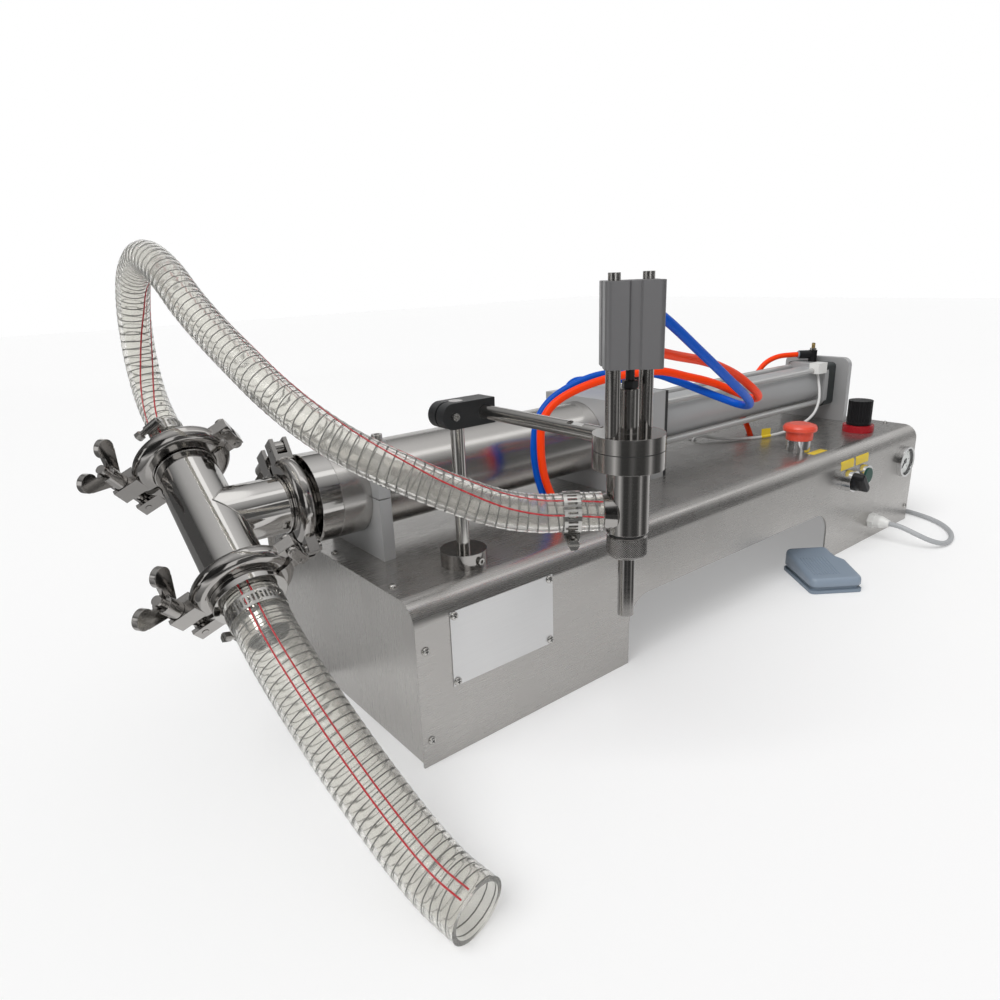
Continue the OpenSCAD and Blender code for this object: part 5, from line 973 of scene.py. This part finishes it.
# Stage, light and camera
def stage_card(name, bm, shade):
    """A plain card that isn't part of the object."""
    mesh = bpy.data.meshes.new(name)
    bm.to_mesh(mesh)
    bm.free()
    card = add_object(name, mesh)
    mat = bpy.data.materials.new(name)
    mat.use_nodes = True
    set_inputs(mat.node_tree.nodes["Principled BSDF"], base_color=(shade, shade, shade, 1), roughness=1.0)
    mesh.materials.append(mat)
    return card


def stage_plane(name, at, facing, width, height, shade):
    bm = bmesh.new()
    bmesh.ops.create_grid(bm, x_segments=1, y_segments=1, size=0.5,
                          matrix=Matrix.Diagonal((width, height, 1, 1)))
    card = stage_card(name, bm, shade)
    card.matrix_world = Matrix.Translation(at) @ Vector(facing).to_track_quat("Z", "Y").to_matrix().to_4x4()
    return card


def glow(card, width, height, middle, rim):
    """Makes a card glow, evenly less from its middle to its rim."""
    tree = card.data.materials[0].node_tree
    place = add_node(tree, "ShaderNodeTexCoord")
    spread = add_node(tree, "ShaderNodeMapping", scale=(2 / width, 2 / height, 1))
    fall = add_node(tree, "ShaderNodeTexGradient")
    fall.gradient_type = "SPHERICAL"
    level = add_node(tree, "ShaderNodeMapRange", to_min=rim, to_max=middle)
    light = add_node(tree, "ShaderNodeEmission")
    wire(tree, (place, "Object", spread, "Vector"), (spread, "Vector", fall, "Vector"),
         (fall, "Fac", level, "Value"), (level, "Result", light, "Strength"),
         (light, "Emission", tree.nodes["Material Output"], "Surface"))
    return card


def show_white(tree, other, strength):
    """White for rays from the camera, gloss and glass; the other shader for the rest."""
    rays = add_node(tree, "ShaderNodeLightPath")
    most, seen, share = [add_math(tree, way) for way in ("MAXIMUM", "MAXIMUM", "MULTIPLY")]
    share.inputs[1].default_value = strength
    white = add_node(tree, "ShaderNodeBackground" if other.type == "BACKGROUND" else "ShaderNodeEmission",
                     color=(1, 1, 1, 1), strength=1.0)
    mix = add_node(tree, "ShaderNodeMixShader")
    wire(tree, (rays, "Is Camera Ray", most, 0), (rays, "Is Glossy Ray", most, 1), (most, "Value", seen, 0),
         (rays, "Is Transmission Ray", seen, 1), (seen, "Value", share, 0), (share, "Value", mix, "Fac"),
         (other, 0, mix, 1), (white, 0, mix, 2))
    return mix


FLOOR_Z, FLOOR_SIZE, FLOOR_SHADE, FLOOR_WHITE = -0.0004, 14, 0.95, 0.28
AMBIENT, SUN_ENERGY, SUN_ANGLE, SUN_WAY = 0.55, 1.8, math.radians(40), Vector((0.75, 0.14, -1.0))
floor = stage_plane("floor", (0, 0, FLOOR_Z), (0, 0, 1), FLOOR_SIZE, FLOOR_SIZE, FLOOR_SHADE)
tree = floor.data.materials[0].node_tree
wire(tree, (show_white(tree, tree.nodes["Principled BSDF"], FLOOR_WHITE), 0,
            tree.nodes["Material Output"], "Surface"))

# Cards that only gloss sees, as round a photographer's stand. Walls: the way to each, its width, top and shade
CARD_FAR = 2.6
WALLS = {
    "wall_operator": (205, 54, 2.2, 0.03),
    "wall_front": (292, 76, 1.5, 0.12),
    "wall_right": (348, 40, 0.8, 0.40),
    "wall_back_right": (24, 40, 1.5, 0.32),
    "wall_back_left": (70, 56, 1.5, 0.80),
    "wall_left": (130, 66, 1.6, 0.12),
}
# Floor round the nozzle: its shade at each turn, in narrow sectors, and a pale patch beside the tee end
FLOOR_SHADES = ((41, 0.45), (84, 0.34), (115, 0.16), (150, 0.16), (168, 0.40), (178, 0.95), (188, 0.40),
                (200, 0.05), (220, 0.04), (234, 0.16), (248, 0.05), (270, 0.05), (283, 0.20), (292, 0.75),
                (301, 0.20), (312, 0.06), (332, 0.10), (350, 0.62), (361, 0.75))
FLOOR_STEP, SECTOR_STEPS = 4, 8
FLOOR_IN, FLOOR_OUT, FLOOR_CARD_Z = 0.34, 2.8, 0.0006
PATCH_TURNS, PATCH_OUT, PATCH_Z, PATCH_SHADE = (41, 147), 0.62, 0.0008, 0.60
# Lights: place, the way each faces, size, glow at the middle and at the rim
LAMPS = {
    "ceiling": ((0.3, 0.0, 2.6), (0, 0, -1), (11, 8), 0.90, 0.06),
    "lamp_over_tee": ((-0.10, 0.2, 2.3), (0, 0, -1), (0.5, 2.6), 1.5, 1.4),
    "lamp_along_tube": ((1.5, -0.75, 2.2), (0, 0, -1), (4.0, 0.55), 1.5, 1.3),
    "lamp_control_end": ((3.0, -0.35, 1.45), (-1, 0, 0), (2.4, 1.2), 1.0, 0.85),
}
cards = []
for name, (turn, width, top, shade) in WALLS.items():
    way = polar(1, math.radians(turn))
    span = 2 * CARD_FAR * math.tan(math.radians(width / 2))
    cards.append(stage_plane(name, CARD_FAR * way + top / 2 * Z_WAY, -way, span, top, shade))
sectors = [(turn, turn + FLOOR_STEP, FLOOR_OUT, FLOOR_CARD_Z, between(FLOOR_SHADES, turn + FLOOR_STEP / 2))
           for turn in range(FLOOR_SHADES[0][0], FLOOR_SHADES[-1][0], FLOOR_STEP)]
sectors.append((*PATCH_TURNS, PATCH_OUT, PATCH_Z, PATCH_SHADE))
for number, (start, end, outer_r, z, shade) in enumerate(sectors):
    bm = bmesh.new()
    turns = [math.radians(start + (end - start) * k / SECTOR_STEPS) for k in range(SECTOR_STEPS + 1)]
    edge = [(outer_r, a) for a in turns] + [(FLOOR_IN, a) for a in reversed(turns)]
    bm.faces.new([bm.verts.new(NOZZLE_AT + polar(r, a, z)) for r, a in edge])
    cards.append(stage_card(f"floor_sector_{number}", bm, shade))
for name, (at, facing, size, middle, rim) in LAMPS.items():
    cards.append(glow(stage_plane(name, at, facing, *size, 0), *size, middle, rim))
for card in cards:
    card.visible_camera = False
    card.visible_diffuse = False
    card.visible_shadow = False
    card.visible_transmission = False

world = bpy.context.scene.world or bpy.data.worlds.new("studio")
bpy.context.scene.world = world
world.use_nodes = True
tree = world.node_tree
ambient = set_inputs(tree.nodes["Background"], color=(1, 1, 1, 1), strength=AMBIENT)
wire(tree, (show_white(tree, ambient, 1.0), 0, tree.nodes["World Output"], "Surface"))

sun = bpy.data.lights.new("soft_key", "SUN")
sun.energy = SUN_ENERGY
sun.angle = SUN_ANGLE
key_light = add_object("soft_key", sun)
key_light.rotation_euler = SUN_WAY.to_track_quat("-Z", "Y").to_euler()

lens = bpy.data.cameras.new("camera")
lens.lens = LENS_MM
lens.sensor_width = SENSOR_MM
lens.clip_start = 0.01
lens.clip_end = 100
camera = add_object("camera", lens)
back = CAMERA_RIGHT.cross(CAMERA_UP)
turned = Matrix((CAMERA_RIGHT, CAMERA_UP, back)).transposed().to_4x4()
camera.matrix_world = Matrix.Translation(CAMERA_AT) @ turned
bpy.context.scene.camera = camera
bpy.context.scene.view_settings.view_transform = "Standard"
